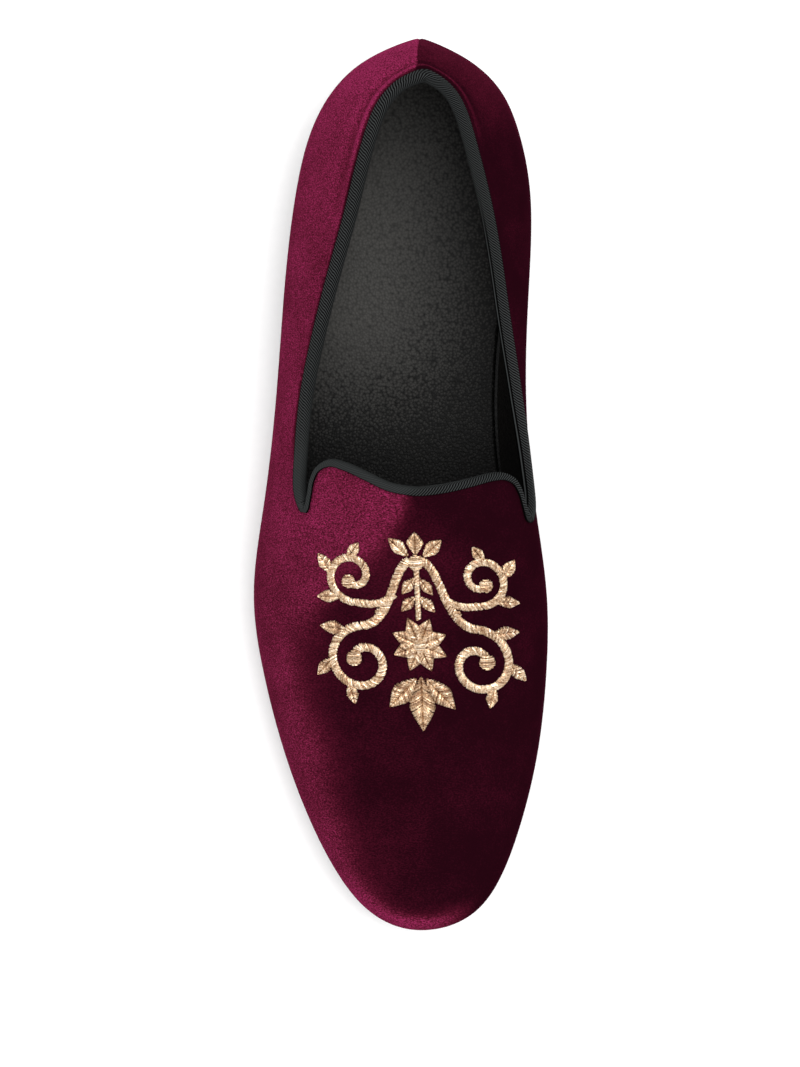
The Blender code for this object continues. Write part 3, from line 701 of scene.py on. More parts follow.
def velvet():
    """Cut-pile cotton velvet: its colour follows the painted light and shade on its points, dark and dull
    on the medial side and bright on the lateral side.
    """
    # The brightest painted light, as a share of the ramp, leaves room for tufts that shine out of it.
    painted_light_share = 0.67
    made, tree, shader = new_material(
        "cut_pile_velvet",
        Roughness=1.0,
        Specular_IOR_Level=0.0,
        Sheen_Weight=0.1,
        Sheen_Roughness=0.25,
        Sheen_Tint=tint("velvet_sheen"),
    )
    place = add(tree, "TexCoord", output="Object")
    painted_nap_light = add(tree, "Attribute", output="Fac", attribute_name="painted_nap_light")
    # Brushed patches of pile, about 18 mm wide, and the pile's own grain in slanting rows. The grain is
    # drawn coarser than the real 0.3 mm so that it shows.
    brushing = {"Scale": 1 / (18 * MM), "Detail": 5.0, "Roughness": 0.6}
    patches = add(tree, "TexNoise", {"Vector": place, **brushing})
    rows = {"Rotation": (0.0, 0.0, math.radians(28)), "Scale": (1.0, 1.7, 1.4)}
    slanting = add(tree, "Mapping", {"Vector": place, **rows})
    grain_size = 1.5 * bpy.context.scene.slipper_sizes.pile_grain
    pile = {"Scale": 1 / grain_size, "Detail": 3.0, "Roughness": 0.7}
    grain = add(tree, "TexNoise", {"Vector": slanting, **pile})
    brushed = add(tree, "MapRange", {"Value": patches, **NOISE_SPAN, "To Min": -0.1, "To Max": 0.1})
    speckles = {"To Min": 0.38 * painted_light_share, "To Max": 1.62 * painted_light_share}
    speckled = add(tree, "MapRange", {"Value": grain, **NOISE_SPAN, **speckles})
    dust = {"To Min": -0.18 * painted_light_share, "To Max": 0.18 * painted_light_share}
    dusted = add(tree, "MapRange", {"Value": grain, **NOISE_SPAN, **dust})
    patchy = add(tree, "Math", {0: painted_nap_light, 1: brushed}, operation="ADD")
    tone = add(tree, "Math", {0: patchy, 1: speckled, 2: dusted}, operation="MULTIPLY_ADD")
    # From painted shade through painted light to the brightest tufts of grain.
    stops = [
        (0.0, tint("velvet_deep")),
        (0.45 * painted_light_share, tint("velvet_middle")),
        (0.8 * painted_light_share, tint("velvet_side")),
        (painted_light_share, tint("velvet_bright")),
        (1.0, tint("velvet_tips")),
    ]
    surface(tree, shader, tone, stops, grain, strength=0.3, depth_mm=0.2)
    return made


# A band of painted shade on leather: its axis, where the colour is full and where it is darkest.
Fade = namedtuple("Fade", "axis pale_at dark_at")


Finish = namedtuple("Finish", "roughness shine grain_mm relief_mm")
LINING_FINISH = Finish(0.8, 0.04, 0.8, 0.06)
SOCK_FINISH = Finish(0.48, 0.1, 0.85, 0.1)
SOLE_FINISH = Finish(0.42, 0.14, 1.4, 0.05)


def leather(name, colour, finish, painted_shades=()):
    """Dyed leather: dark, with a fine pebbled grain and a soft satin shine, darker where a painted shade
    falls.
    """
    made, tree, shader = new_material(name, Specular_IOR_Level=finish.shine)
    place = add(tree, "TexCoord", output="Object")
    pebbles = add(tree, "TexVoronoi", {"Vector": place, "Scale": 1 / (finish.grain_mm * MM)})
    # Worn patches are about 22 mm wide.
    worn = add(tree, "TexNoise", {"Vector": place, "Scale": 1 / (22 * MM), "Detail": 4.0})
    dye_and_shade = add(tree, "MapRange", {"Value": worn, "To Min": 0.4, "To Max": 0.6})
    for shade_band in painted_shades:
        at = add(tree, "SeparateXYZ", {"Vector": place}, output=shade_band.axis)
        ends = {"From Min": shade_band.pale_at * MM, "From Max": shade_band.dark_at * MM, "To Min": 1.0, "To Max": 0.0}
        unshaded = add(tree, "MapRange", {"Value": at, **ends}, interpolation_type="SMOOTHSTEP")
        dye_and_shade = add(tree, "Math", {0: dye_and_shade, 1: unshaded}, operation="MULTIPLY")
    mottle = add(tree, "MapRange", {"Value": pebbles, "To Min": 0.2, "To Max": -0.3})
    mottled = add(tree, "Math", {0: dye_and_shade, 1: mottle}, operation="ADD")
    stops = [(0.0, shaded(colour, 0.05)), (0.3, shaded(colour, 0.75)), (0.7, shaded(colour, 1.5))]
    surface(tree, shader, mottled, stops, pebbles, strength=0.9, depth_mm=finish.relief_mm)
    dullness = {"To Min": finish.roughness - 0.07, "To Max": finish.roughness + 0.09}
    gloss = add(tree, "MapRange", {"Value": worn, **dullness})
    tree.links.new(gloss, shader.inputs["Roughness"])
    return made


def grosgrain():
    """Ribbed rayon ribbon: black, with a painted highlight along the tops of its slanting ribs and painted
    shade between them.
    """
    made, tree, shader = new_material("grosgrain_ribbon", Roughness=0.7, Specular_IOR_Level=0.03)
    place = add(tree, "TexCoord", output="Object")
    # The rib value carries painted light and shade: lit rib tops, shaded gaps and the painted rows along
    # the ribbon's edges.
    rib = add(tree, "Attribute", output="Fac", attribute_name="rib")
    weave = add(tree, "TexNoise", {"Vector": place, "Scale": 1 / (0.5 * MM), "Detail": 2.0})
    stops = [(0.35, shaded(tint("ribbon"), 0.0)), (0.95, shaded(tint("ribbon"), 1.3))]
    surface(tree, shader, rib, stops, weave, strength=0.3, depth_mm=0.1)
    return made


def gold_thread():
    """Metal-wrapped thread, laid side by side: bright, with each thread at its own tone."""
    made, tree, shader = new_material("metal_thread", Metallic=0.85, Roughness=0.32)
    place = add(tree, "TexCoord", output="Object")
    tone = add(tree, "Attribute", output="Fac", attribute_name="tone")
    # The metal's wrap, drawn coarser than the real 0.2 mm so that it glitters.
    wrap = add(tree, "TexNoise", {"Vector": place, "Scale": 1 / (0.5 * MM), "Detail": 2.0})
    glitter = add(tree, "MapRange", {"Value": wrap, **NOISE_SPAN, "To Min": -0.4, "To Max": 0.4})
    turned = add(tree, "Math", {0: tone, 1: glitter}, operation="ADD")
    stops = [(0.0, tint("thread_dark")), (0.5, tint("thread")), (1.0, tint("thread_pale"))]
    surface(tree, shader, turned, stops, wrap, strength=0.7, depth_mm=0.2)
    return made


def new_piece(name, points, faces, materials, stands_for=None):
    """A mesh piece from points in millimetres on the last's axes, riding on the shoe."""
    data = bpy.data.meshes.new(name)
    data.from_pydata(placed(points).tolist(), [], faces)
    for made in materials:
        data.materials.append(made)
    piece = bpy.data.objects.new(name, data)
    bpy.context.scene.collection.objects.link(piece)
    data.shade_smooth()
    data.set_sharp_from_angle(angle=math.radians(SHARP_DEGREES))
    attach(piece, "root")
    if stands_for:
        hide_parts(stands_for)
    return piece


def face_outwards(piece):
    """Turns a closed piece's faces so that all of them look out."""
    mesh = bmesh.new()
    mesh.from_mesh(piece.data)
    bmesh.ops.recalc_face_normals(mesh, faces=mesh.faces)
    mesh.to_mesh(piece.data)
    mesh.free()


def point_values(piece, name, values):
    """Gives each point of a piece a value that its material reads."""
    attribute = piece.data.attributes.new(name, "FLOAT", "POINT")
    attribute.data.foreach_set("value", np.asarray(values, np.float32))


def roll_strength(points):
    """How strong the roll beside the ribbon is at places along the collar."""
    faded = [between(points[:, 1], *ends) for ends in ROLL_FADES.values()]
    return 1 - np.where(points[:, 0] < 0, *faded)


def net_points(edge, opening):
    """Points of the velvet's net down to the feather line, closer at the roll and the heel seam."""
    rings = [laid_flat(even_turns(reach, NET_SPACING), reach) for reach in NET_REACHES]
    ridge = np.arange(RIDGE_START, RIDGE_END, NET_SPACING)
    seam = np.arange(RIDGE_START - GIRTH_DEPTH + SEAM_SPACING / 2, RIDGE_START, SEAM_SPACING)
    beside = [side * apart for apart in SEAM_COLUMNS for side in (-1, 1)]
    columns = [np.stack([seam, 0 * seam + across], axis=1) for across in beside]
    points = np.concatenate(rings + columns + [np.stack([ridge, 0 * ridge], axis=1)])
    has_roll = roll_strength(on_last(edge)) > 0
    roll = np.concatenate([stepped_in(edge, distance)[has_roll] for distance in ROLL_RINGS])

    def clearance(line):
        return np.linalg.norm(points[:, None] - line[None], axis=2).min(axis=1)

    is_clear = (clearance(opening) > NET_CLEARANCE) & (clearance(roll) > ROLL_RING_CLEARANCE)
    is_above = from_flat(points)[1] < NET_ENDS_AT
    return np.concatenate([roll, points[~lies_inside(points, opening) & is_clear & is_above]])


def split(places, triangles, cuts):
    """Cuts each triangle's sides into so many lengths and welds the new places."""
    steps = [(i, j) for i in range(cuts + 1) for j in range(cuts + 1 - i)]
    share = np.array([(cuts - i - j, i, j) for i, j in steps]) / cuts
    spread = np.einsum("sk,tkd->tsd", share, places[triangles])
    rounded = np.round(spread.reshape(-1, 2) / WELD).astype(np.int64)
    welded, where = np.unique(rounded, axis=0, return_inverse=True)
    where = where.reshape(len(triangles), len(steps))
    number = {step: i for i, step in enumerate(steps)}
    pieces = []
    for i, j in steps:
        if i + j < cuts:
            pieces.append((number[i, j], number[i + 1, j], number[i, j + 1]))
        if i + j < cuts - 1:
            pieces.append((number[i + 1, j], number[i + 1, j + 1], number[i, j + 1]))
    return welded * WELD, where[:, np.array(pieces)].reshape(-1, 3)


def velvet_sheet():
    """Flat places and triangles of the upper, from under the ribbon down to the feather line."""
    edge = closed_curve(EDGE_ROWS, EDGE_STEPS)
    opening = stepped_in(edge, COVERED_STRIP)
    feather = laid_flat(even_turns(1.0, NET_SPACING), 1.0)
    net = np.concatenate([opening, feather, net_points(edge, opening)])
    bounds = ring_of(0, len(opening)) + ring_of(len(opening), len(feather))
    result = delaunay_2d_cdt([Vector(place) for place in net], bounds, [], INSIDE_BOUNDS, WELD)
    came_from = np.array([origins[0] for origins in result[3]])
    triangles = came_from[np.array(result[2])]
    triangles = triangles[~lies_inside(net[triangles].mean(axis=1), opening)]
    return split(net, triangles, NET_CUTS)


def distance_to(line, points):
    """Each point's distance to the nearest point of a line, and that point's number."""
    tree = KDTree(len(line))
    for number, place in enumerate(line):
        tree.insert(place, number)
    tree.balance()
    found = [tree.find(point) for point in points]
    return np.array([near[2] for near in found]), np.array([near[1] for near in found])


def collar_roll(points):
    """How far, from 0 to 1, points lie on the roll beside the ribbon, in the crease and in the seam."""
    ribbon_line = on_last(stepped_in(closed_curve(EDGE_ROWS, 2 * EDGE_STEPS), BINDING_LEG - GAP))
    apart, nearest = distance_to(ribbon_line, points)
    strength = roll_strength(ribbon_line[nearest])
    roll = strength * hump(apart - ROLL_AT, ROLL_WIDTH)
    crease = strength * hump(apart - CREASE_AT, CREASE_WIDTH)
    sideways = np.linalg.norm((points - ribbon_line[nearest])[:, :2], axis=1)
    seam = eased(1 - (sideways - BINDING_GAP - BINDING_THICKNESS) / SEAM_WIDTH)
    return roll, crease, seam * (1 - between(points[:, 1], SEAM_FROM, SEAM_TO))


def heel_keel(flat, points):
    """How far the heel seam's keel stands out, with its stitch line sunk in."""
    from_seam = np.where(flat[:, 0] < RIDGE_START, np.abs(points[:, 0]), LENGTH)
    keel = KEEL_HEIGHT * hump(from_seam, KEEL_WIDTH)
    return keel - STITCH_LINE_DEPTH * hump(from_seam, STITCH_LINE_WIDTH)


def painted_light_tone(points, normals):
    """How far the velvet is painted bright: painted light on the lateral side, the toe tip and the heel,
    partly the pile's lean towards the lateral side and the heel.
    """
    across, along, up = normals.T
    rows = np.array(NAP_LIGHT_ROWS)
    step_at, width, bright = (np.interp(points[:, 1], rows[:, 0], column) for column in rows[:, 1:].T)
    tone = NAP_LIGHT_LEVEL - NAP_LIGHT_SLOPE * across
    tone += (bright - tone) * eased(0.5 - (across - step_at) / width)
    # A painted highlight round the toe's rim, where the normal leans towards the toe, except on the medial
    # side.
    rim = between(along, PAINTED_RIM_FROM, PAINTED_RIM_TO) * eased(1 - across / PAINTED_RIM_ENDS)
    tone += (PAINTED_RIM_HIGHLIGHT - tone) * rim
    # The heel gets painted tones of its own, bright on the lateral side and darker on the medial side.
    for side, heel in NAP_LIGHT_HEELS.items():
        share = np.where(side * points[:, 0] > 0, 1 - eased(points[:, 1] / heel.reach), 0.0)
        tone += share * (heel.tone - tone)
    under = between(up, NAP_LIGHT_UNDER_FROM, NAP_LIGHT_UNDER_TO)
    return tone + NAP_LIGHT_UNDER_SHARE * under * (NAP_LIGHT_UNDER - tone)


class SLIPPER_OT_upper(bpy.types.Operator):
    """Builds the velvet upper with its lining, hollow and open at the collar"""

    bl_idname = "slipper.upper"
    bl_label = "Velvet upper"

    def execute(self, context):
        flat, triangles = velvet_sheet()
        points = on_last(flat)
        normals = outward_normals(flat)
        roll, crease, seam = collar_roll(points)
        relief = ROLL_HEIGHT * roll - CREASE_DEPTH * crease + heel_keel(flat, points)
        outside = points + normals * relief[:, None]
        inside = points - normals * WALL
        # The velvet's tone: painted light and shade by its normal, a painted highlight on the roll, painted
        # shade in the crease and a painted shadow along the ribbon's seam.
        painted_nap_light = painted_light_tone(points, normals) + ROLL_HIGHLIGHT * roll - CREASE_SHADE * crease - SEAM_SHADOW * seam
        count = len(points)
        corners = points[triangles]
        facing = np.cross(corners[:, 1] - corners[:, 0], corners[:, 2] - corners[:, 0])
        is_reversed = np.sum(facing * normals[triangles].mean(axis=1), axis=1) > 0
        triangles[is_reversed] = triangles[is_reversed][:, ::-1]

        # Sides that only one triangle uses make the rim, which joins the outside to the lining.
        sides = np.concatenate([triangles[:, pair] for pair in ([0, 1], [1, 2], [2, 0])])
        _, where, uses = np.unique(np.sort(sides, axis=1), axis=0, return_inverse=True, return_counts=True)
        rim = sides[uses[where.reshape(-1)] == 1]
        faces = triangles.tolist() + (triangles[:, ::-1] + count).tolist()
        faces += [(b, a, a + count, b + count) for a, b in rim.tolist()]
        shell = np.concatenate([outside, inside])
        lining = leather("suede_lining", tint("lining"), LINING_FINISH)
        piece = new_piece("velvet_upper", shell, faces, [velvet(), lining], "upper")
        is_inside = np.arange(len(faces)) >= len(triangles)
        piece.data.polygons.foreach_set("material_index", is_inside.astype(np.int32))
        point_values(piece, "painted_nap_light", np.concatenate([np.clip(painted_nap_light, 0, 1), np.zeros(count)]))
        return {"FINISHED"}


class SLIPPER_OT_ribbon(bpy.types.Operator):
    """Folds a ribbed ribbon over the top edge of the upper"""

    bl_idname = "slipper.ribbon"
    bl_label = "Collar ribbon"

    RIB_STEPS = 4
    RIB_SLANT = 1.05
    GATHERING = 0.6
    PRESSED_FROM, PRESSED_TO, PRESSED_SHARE, PRESSED_TONE = 112.0, 140.0, 0.75, 0.12
    SIDE_BLEND = 10.0
    SELVEDGE_FROM, SELVEDGE_BLEND = 48.0, 35.0
    THROAT_NARROWING, THROAT_BLEND = 0.36, 12.0

    def execute(self, context):
        sizes = context.scene.slipper_sizes
        steps = 4 * EDGE_STEPS
        rough = closed_curve(EDGE_ROWS, steps)
        loop = np.concatenate([rough, rough[:1]])
        walked = walked_along(on_last(loop))
        columns = round(walked[-1] * MM / sizes.rib_pitch) * self.RIB_STEPS
        places = np.arange(columns) / columns * walked[-1]
        far = BINDING_GAP + BINDING_THICKNESS

        # The ribbon shows a narrower leg round the throat, from the end of one slit to that of the other.
        sides = [[row for row in TOP_EDGE if row.side == side] for side in (LATERAL, MEDIAL)]
        ends = [max(rows, key=lambda row: row.along) for rows in sides]
        start, end = (walked[steps * TOP_EDGE.index(row)] for row in ends)
        in_throat = eased((places - start) / self.THROAT_BLEND + 0.5)
        in_throat *= eased((end - places) / self.THROAT_BLEND + 0.5)
        leg = (BINDING_LEG - GAP) * (1 - self.THROAT_NARROWING * in_throat)

        def edge_at(distances):
            """Places on the upper's pattern at distances along its top edge."""
            return places_along(loop, walked, distances % walked[-1])

        # The leg's width as seen from above: the ribs look straight from there.
        edge = edge_at(places)
        across_leg = on_last(stepped_in(edge, leg[:, None])) - on_last(edge)
        leg_across = np.linalg.norm(across_leg[:, :2], axis=1)

        def section(row):
            """The middle of the upper's wall along a row, with its ways outwards and into the upper.

            The row starts further along by the slant, so that the mesh follows the ribs.
            """
            turned = math.cos(math.radians(row.degrees))
            reached = (WALL / 2 + far) * (1 - turned) - leg_across * row.share * turned
            edge = edge_at(places + self.RIB_SLANT * reached)
            flat = stepped_in(edge, (leg * row.share)[:, None])
            outward = outward_normals(flat)
            inward = unit(on_last(stepped_in(edge, BINDING_LEG)) - on_last(edge))
            return on_last(flat) - outward * WALL / 2, outward, inward

        # The ribs are pressed flatter round the lateral half of the throat.
        wave = 0.5 * np.cos(2 * math.pi * np.arange(columns) / self.RIB_STEPS)
        across, along, _ = places_along(on_last(loop), walked, places).T
        pressed = between(along, self.PRESSED_FROM, self.PRESSED_TO)
        pressed *= eased(0.5 - across / self.SIDE_BLEND)
        wave *= 1 - self.PRESSED_SHARE * pressed
        # The medial look, with its painted shade and painted highlight, takes over on the medial side
        # outside the throat.
        on_medial = eased((along - self.SELVEDGE_FROM) / self.SELVEDGE_BLEND) * (1 - in_throat)
        on_medial *= eased(across / self.SIDE_BLEND)
        shown, hidden, tones = [], [], []
        for row in RIBBON_ROWS:
            middle, outward, inward = section(row)
            tone, ribs = (low + (high - low) * on_medial for low, high in zip(row.lateral, row.medial))
            out = math.cos(math.radians(row.degrees))
            over = math.sin(math.radians(row.degrees))
            raised = far + sizes.rib_height / MM * (ribs * wave)[:, None]
            for rings, stand_off in ((shown, raised), (hidden, BINDING_GAP)):
                rings.append(middle + outward * out * (WALL / 2 + stand_off) - inward * over * stand_off)
            # The rib tone paints a highlight on each rib's top and shade between the ribs; where the
            # ribbon's turns gather or fan out the ribs, that painted light fades.
            apart = np.linalg.norm(way_round(shown[-1]), axis=1)
            evenness = hump(np.log(apart * columns / (2 * walked[-1])), self.GATHERING)
            tones.append(tone + ribs * (wave * evenness + self.PRESSED_TONE * pressed))
        rings = shown + hidden[::-1]
        faces = []
        for number in range(len(rings)):
            low, high = number * columns, (number + 1) % len(rings) * columns
            faces += [(low + a, low + b, high + b, high + a) for a, b in ring_of(0, columns)]
        points = np.concatenate(rings)
        piece = new_piece("collar_ribbon", points, faces, [grosgrain()], "collar_binding")
        point_values(piece, "rib", np.concatenate(tones + tones[::-1]))
        face_outwards(piece)
        return {"FINISHED"}


def scroll_line(scroll, share):
    """Points along a scroll's spiral, from its outside in."""
    angle = np.radians(scroll.start + scroll.sweep * share)
    radius = scroll.outer + (scroll.inner - scroll.outer) * share
    middle = np.array((scroll.across, scroll.along))
    return middle + radius[:, None] * np.stack([np.cos(angle), np.sin(angle)], axis=1)


class SLIPPER_OT_embroidery(bpy.types.Operator):
    """Embroiders a mirrored arabesque in metal thread on the vamp"""

    bl_idname = "slipper.embroidery"
    bl_label = "Gold embroidery"

    # Fineness of the strokes' middle lines, and how a leaf or a berry swells along its line.
    LINE_STEP, STEM_SAMPLES, SCROLL_SAMPLES = 0.15, 300, 600
    LEAN_STEP = 0.01
    LEAF_SWELL, LEAF_LEAST, BERRY_LEAST = 0.8, 0.2, 0.1

    # A thread's places across its stroke, its section, and how far threads differ from one another.
    ACROSS_THREAD = np.array((-1.0, -0.85, -0.5, -0.15, 0.0, 0.15, 0.5, 0.85, 1.0))
    SECTION_DEGREES = np.array((-25.0, 50.0, 130.0, 205.0))
    SECTION_FLATNESS = 0.75
    THREAD_TILT = 0.4
    LEAST_THREADS = 4
    START_SPREAD, TONE_SPREAD, LIFT_SPREAD = 0.2, 0.2, 0.1
    NARROWEST, WIDEST, OVERHANG = 0.9, 1.06, 1.1
    LOOK_FROM = 200.0
    SEED = 7

    def execute(self, context):
        sizes = context.scene.slipper_sizes
        self.chance = np.random.default_rng(self.SEED)
        velvet_mesh = bpy.data.objects["velvet_upper"].data
        vertices = [vertex.co for vertex in velvet_mesh.vertices]
        ground = BVHTree.FromPolygons(vertices, [face.vertices for face in velvet_mesh.polygons])
        spacing = sizes.thread_spacing / MM
        places, heights, tones = [], [], []
        for line, half_widths, stitch in self.strokes():
            for side in (LATERAL, MEDIAL):
                place, height = self.threads(line * (side, 1), half_widths, stitch, spacing)
                places.append(place)
                heights.append(height)
                tones.append(np.clip(self.chance.normal(stitch.tone, self.TONE_SPREAD, len(place)), 0, 1))
                if np.abs(line[:, 0]).max() < self.LINE_STEP:
                    break
        place = np.concatenate(places)
        centre, normal = self.laid_on(ground, place)
        centre += normal * np.concatenate(heights)[..., None]
        self.thread_piece(centre, normal, np.concatenate(tones), sizes.thread_radius / MM)
        return {"FINISHED"}

    def strokes(self):
        """Each stroke's middle line, half widths along it and kind of stitching."""
        made = []

        def vine(line, half_width):
            made.append((line, np.full(len(line), half_width), VINE))

        def leaf(base, degrees, length, width):
            gone = np.linspace(0, 1, round(length / self.LINE_STEP))
            angle = math.radians(degrees)
            line = np.array(base) + gone[:, None] * length * np.array((math.cos(angle), math.sin(angle)))
            swell = np.sin(math.pi * gone**self.LEAF_SWELL)
            made.append((line, width / 2 * swell + self.LEAF_LEAST, LEAF))

        def berry(middle, radius):
            gone = np.linspace(-1, 1, round(2 * radius / self.LINE_STEP))
            line = np.array(middle) + gone[:, None] * radius * np.array((0.0, 1.0))
            made.append((line, radius * np.sqrt(1 - gone**2) + self.BERRY_LEAST, BERRY))

        for stem in STEMS:
            t = np.linspace(0, 1, self.STEM_SAMPLES)[:, None]
            vine(cubic(t, *(np.array(point) for point in stem[:4])), stem.half_width)
        for scroll in SCROLLS:
            vine(scroll_line(scroll, np.linspace(0, 1, self.SCROLL_SAMPLES)), scroll.half_width)
            berry(scroll_line(scroll, np.ones(1))[0], scroll.eye)
        for row in SCROLL_LEAVES:
            shares = row.share + np.array((-self.LEAN_STEP, 0.0, self.LEAN_STEP))
            before, base, after = scroll_line(SCROLLS[row.scroll], shares)
            ahead = math.degrees(math.atan2(*(after - before)[::-1]))
            leaf(base, ahead + row.lean, row.length, row.width)
        for row in LEAVES:
            leaf((row.across, row.along), row.degrees, row.length, row.width)
        for row in BERRIES:
            berry((row.across, row.along), row.radius)
        return made

    def threads(self, line, half_widths, stitch, spacing):
        """Places and heights along each thread that crosses a stroke, slanted or chevroned."""
        walked = walked_along(line)
        count = max(self.LEAST_THREADS, round(walked[-1] / spacing))
        shift = self.chance.uniform(-self.START_SPREAD, self.START_SPREAD, count)
        start = (np.arange(count) + 0.5 + shift) / count * walked[-1]
        width = self.chance.uniform(self.NARROWEST, self.WIDEST, count)
        half = np.interp(start, walked, half_widths) * width
        over = np.broadcast_to(self.ACROSS_THREAD, (count, len(self.ACROSS_THREAD)))
        slant = stitch.slant * (np.abs(over) if stitch.is_chevron else over)
        place = np.clip(start[:, None] + slant * half[:, None], 0, walked[-1])
        reach = over * np.minimum(half[:, None], self.OVERHANG * np.interp(place, walked, half_widths))
        middle = places_along(line, walked, place)
        sideways = places_along(square_to(unit(np.gradient(line, axis=0))), walked, place)
        padding = PADDING_LEAST + PADDING_SHARE * half[:, None]
        bow = 2 * np.abs(over) - 1 if stitch.is_chevron else over
        lift = stitch.lift + padding * np.sqrt(1 - bow**2)
        height = lift + self.chance.uniform(0, self.LIFT_SPREAD, count)[:, None]
        return middle + sideways * reach[..., None], height

    def laid_on(self, ground, place):
        """Points on the velvet under places of the design, and the velvet's normals there."""
        lean = math.radians(DESIGN_LEAN)
        across = DESIGN_ACROSS + place[..., 0] * math.cos(lean) + place[..., 1] * math.sin(lean)
        along = DESIGN_ALONG + place[..., 0] * math.sin(lean) + place[..., 1] * math.cos(lean)
        above = placed(stacked(across, along, self.LOOK_FROM))
        shape = above.shape
        hits = [ground.ray_cast(Vector(point), Vector((0, 0, -1)))[:2] for point in above.reshape(-1, 3)]
        up = np.array([hit[0][2] for hit in hits]).reshape(shape[:-1]) / MM
        normal = np.array([hit[1] for hit in hits]).reshape(shape) * (1, -1, 1)
        return stacked(across, along, up), normal

    def thread_piece(self, centre, normal, tones, radius):
        """One mesh of all threads, each an arched strip with a flattened round section."""
        ahead = np.gradient(centre, axis=1)
        sideways = np.cross(ahead, normal)
        sideways /= np.linalg.norm(sideways, axis=-1, keepdims=True) + LEAST_REACH
        tilt = self.chance.normal(0, self.THREAD_TILT, len(centre))[:, None, None, None]
        angle = np.radians(self.SECTION_DEGREES)[None, None, :, None]
        flat, rise = np.cos(angle), np.sin(angle) * self.SECTION_FLATNESS
        out = flat * np.cos(tilt) - rise * np.sin(tilt)
        up = flat * np.sin(tilt) + rise * np.cos(tilt)
        points = centre[:, :, None] + radius * (sideways[:, :, None] * out + normal[:, :, None] * up)
        threads, steps, corners = points.shape[:3]
        number = np.arange(threads * steps * corners).reshape(threads, steps, corners)
        a, b = number[:, :-1, :-1], number[:, :-1, 1:]
        c, d = number[:, 1:, 1:], number[:, 1:, :-1]
        faces = np.stack([a, b, c, d], axis=-1).reshape(-1, 4)
        piece = new_piece("gold_embroidery", points.reshape(-1, 3), faces.tolist(), [gold_thread()])
        point_values(piece, "tone", np.repeat(tones, steps * corners))


def feather_loop():
    """The feather line as a closed loop of points (across, along), once round from the heel seam."""
    turn = np.arange(SOLE_SEGMENTS) * 2 * math.pi / SOLE_SEGMENTS
    return np.stack(feather_line(turn), axis=1)


def grown(loop, distance):
    """A loop moved outwards, square to itself."""
    return loop + distance * square_to(unit(way_round(loop)))


def rounding(radius):
    """Steps round a quarter edge, as how far in from the side and how far from the face."""
    angles = np.linspace(0, math.pi / 2, ROUND_STEPS + 1)
    return [(radius * (1 - math.sin(angle)), radius * (1 - math.cos(angle))) for angle in angles]


def plate_rings(margin, bottom, top, radius):
    """Rings of a sole-shaped plate between two heights that vary along the shoe, with round edges."""
    edges = [(inset, bottom, lift) for inset, lift in rounding(radius)]
    edges += [(inset, top, -drop) for inset, drop in reversed(rounding(radius))]
    rings = []
    for inset, face, shift in edges:
        ring = grown(feather_loop(), margin - inset)
        rings.append(stacked(ring[:, 0], ring[:, 1], face(ring[:, 1]) + shift))
    return rings


def lofted_piece(name, rings, made, stands_for, is_plate=True):
    """A piece of rings joined in order, with its ends filled by strips across a plate or by one face."""
    count = len(rings[0])
    last = (len(rings) - 1) * count
    faces = []
    for low in range(0, last, count):
        high = low + count
        faces += [(low + a, high + a, high + b, low + b) for a, b in ring_of(0, count)]
    for start in (0, last):
        if is_plate:
            for i in range(count // 2):
                corners = (i, i + 1, count - i - 1, -i % count)
                faces.append(tuple(dict.fromkeys(start + corner for corner in corners)))
        else:
            faces.append(tuple(range(start, start + count)))
    face_outwards(new_piece(name, np.concatenate(rings), faces, [made], stands_for))


class SLIPPER_OT_sock(bpy.types.Operator):
    """Lays the leather sock inside the shoe"""

    bl_idname = "slipper.sock"
    bl_label = "Insole sock"

    # Painted shade darkens the leather towards the medial side and the toe and leaves it pale along the
    # lateral side.
    PAINTED_SHADES = (
        Fade("X", ACROSS_SHIFT - 26.0, ACROSS_SHIFT + 40.0),
        Fade("Y", LENGTH / 2 - 82.0, LENGTH / 2 - 142.0),
    )

    def execute(self, context):
        def top(along):
            return seat_height(along) + INSOLE_THICKNESS

        rings = plate_rings(-INSOLE_INSET, seat_height, top, INSOLE_EDGE_ROUND)
        made = leather("fine_grain_sock_leather", tint("sock"), SOCK_FINISH, self.PAINTED_SHADES)
        lofted_piece("leather_sock", rings, made, "insole")
        return {"FINISHED"}


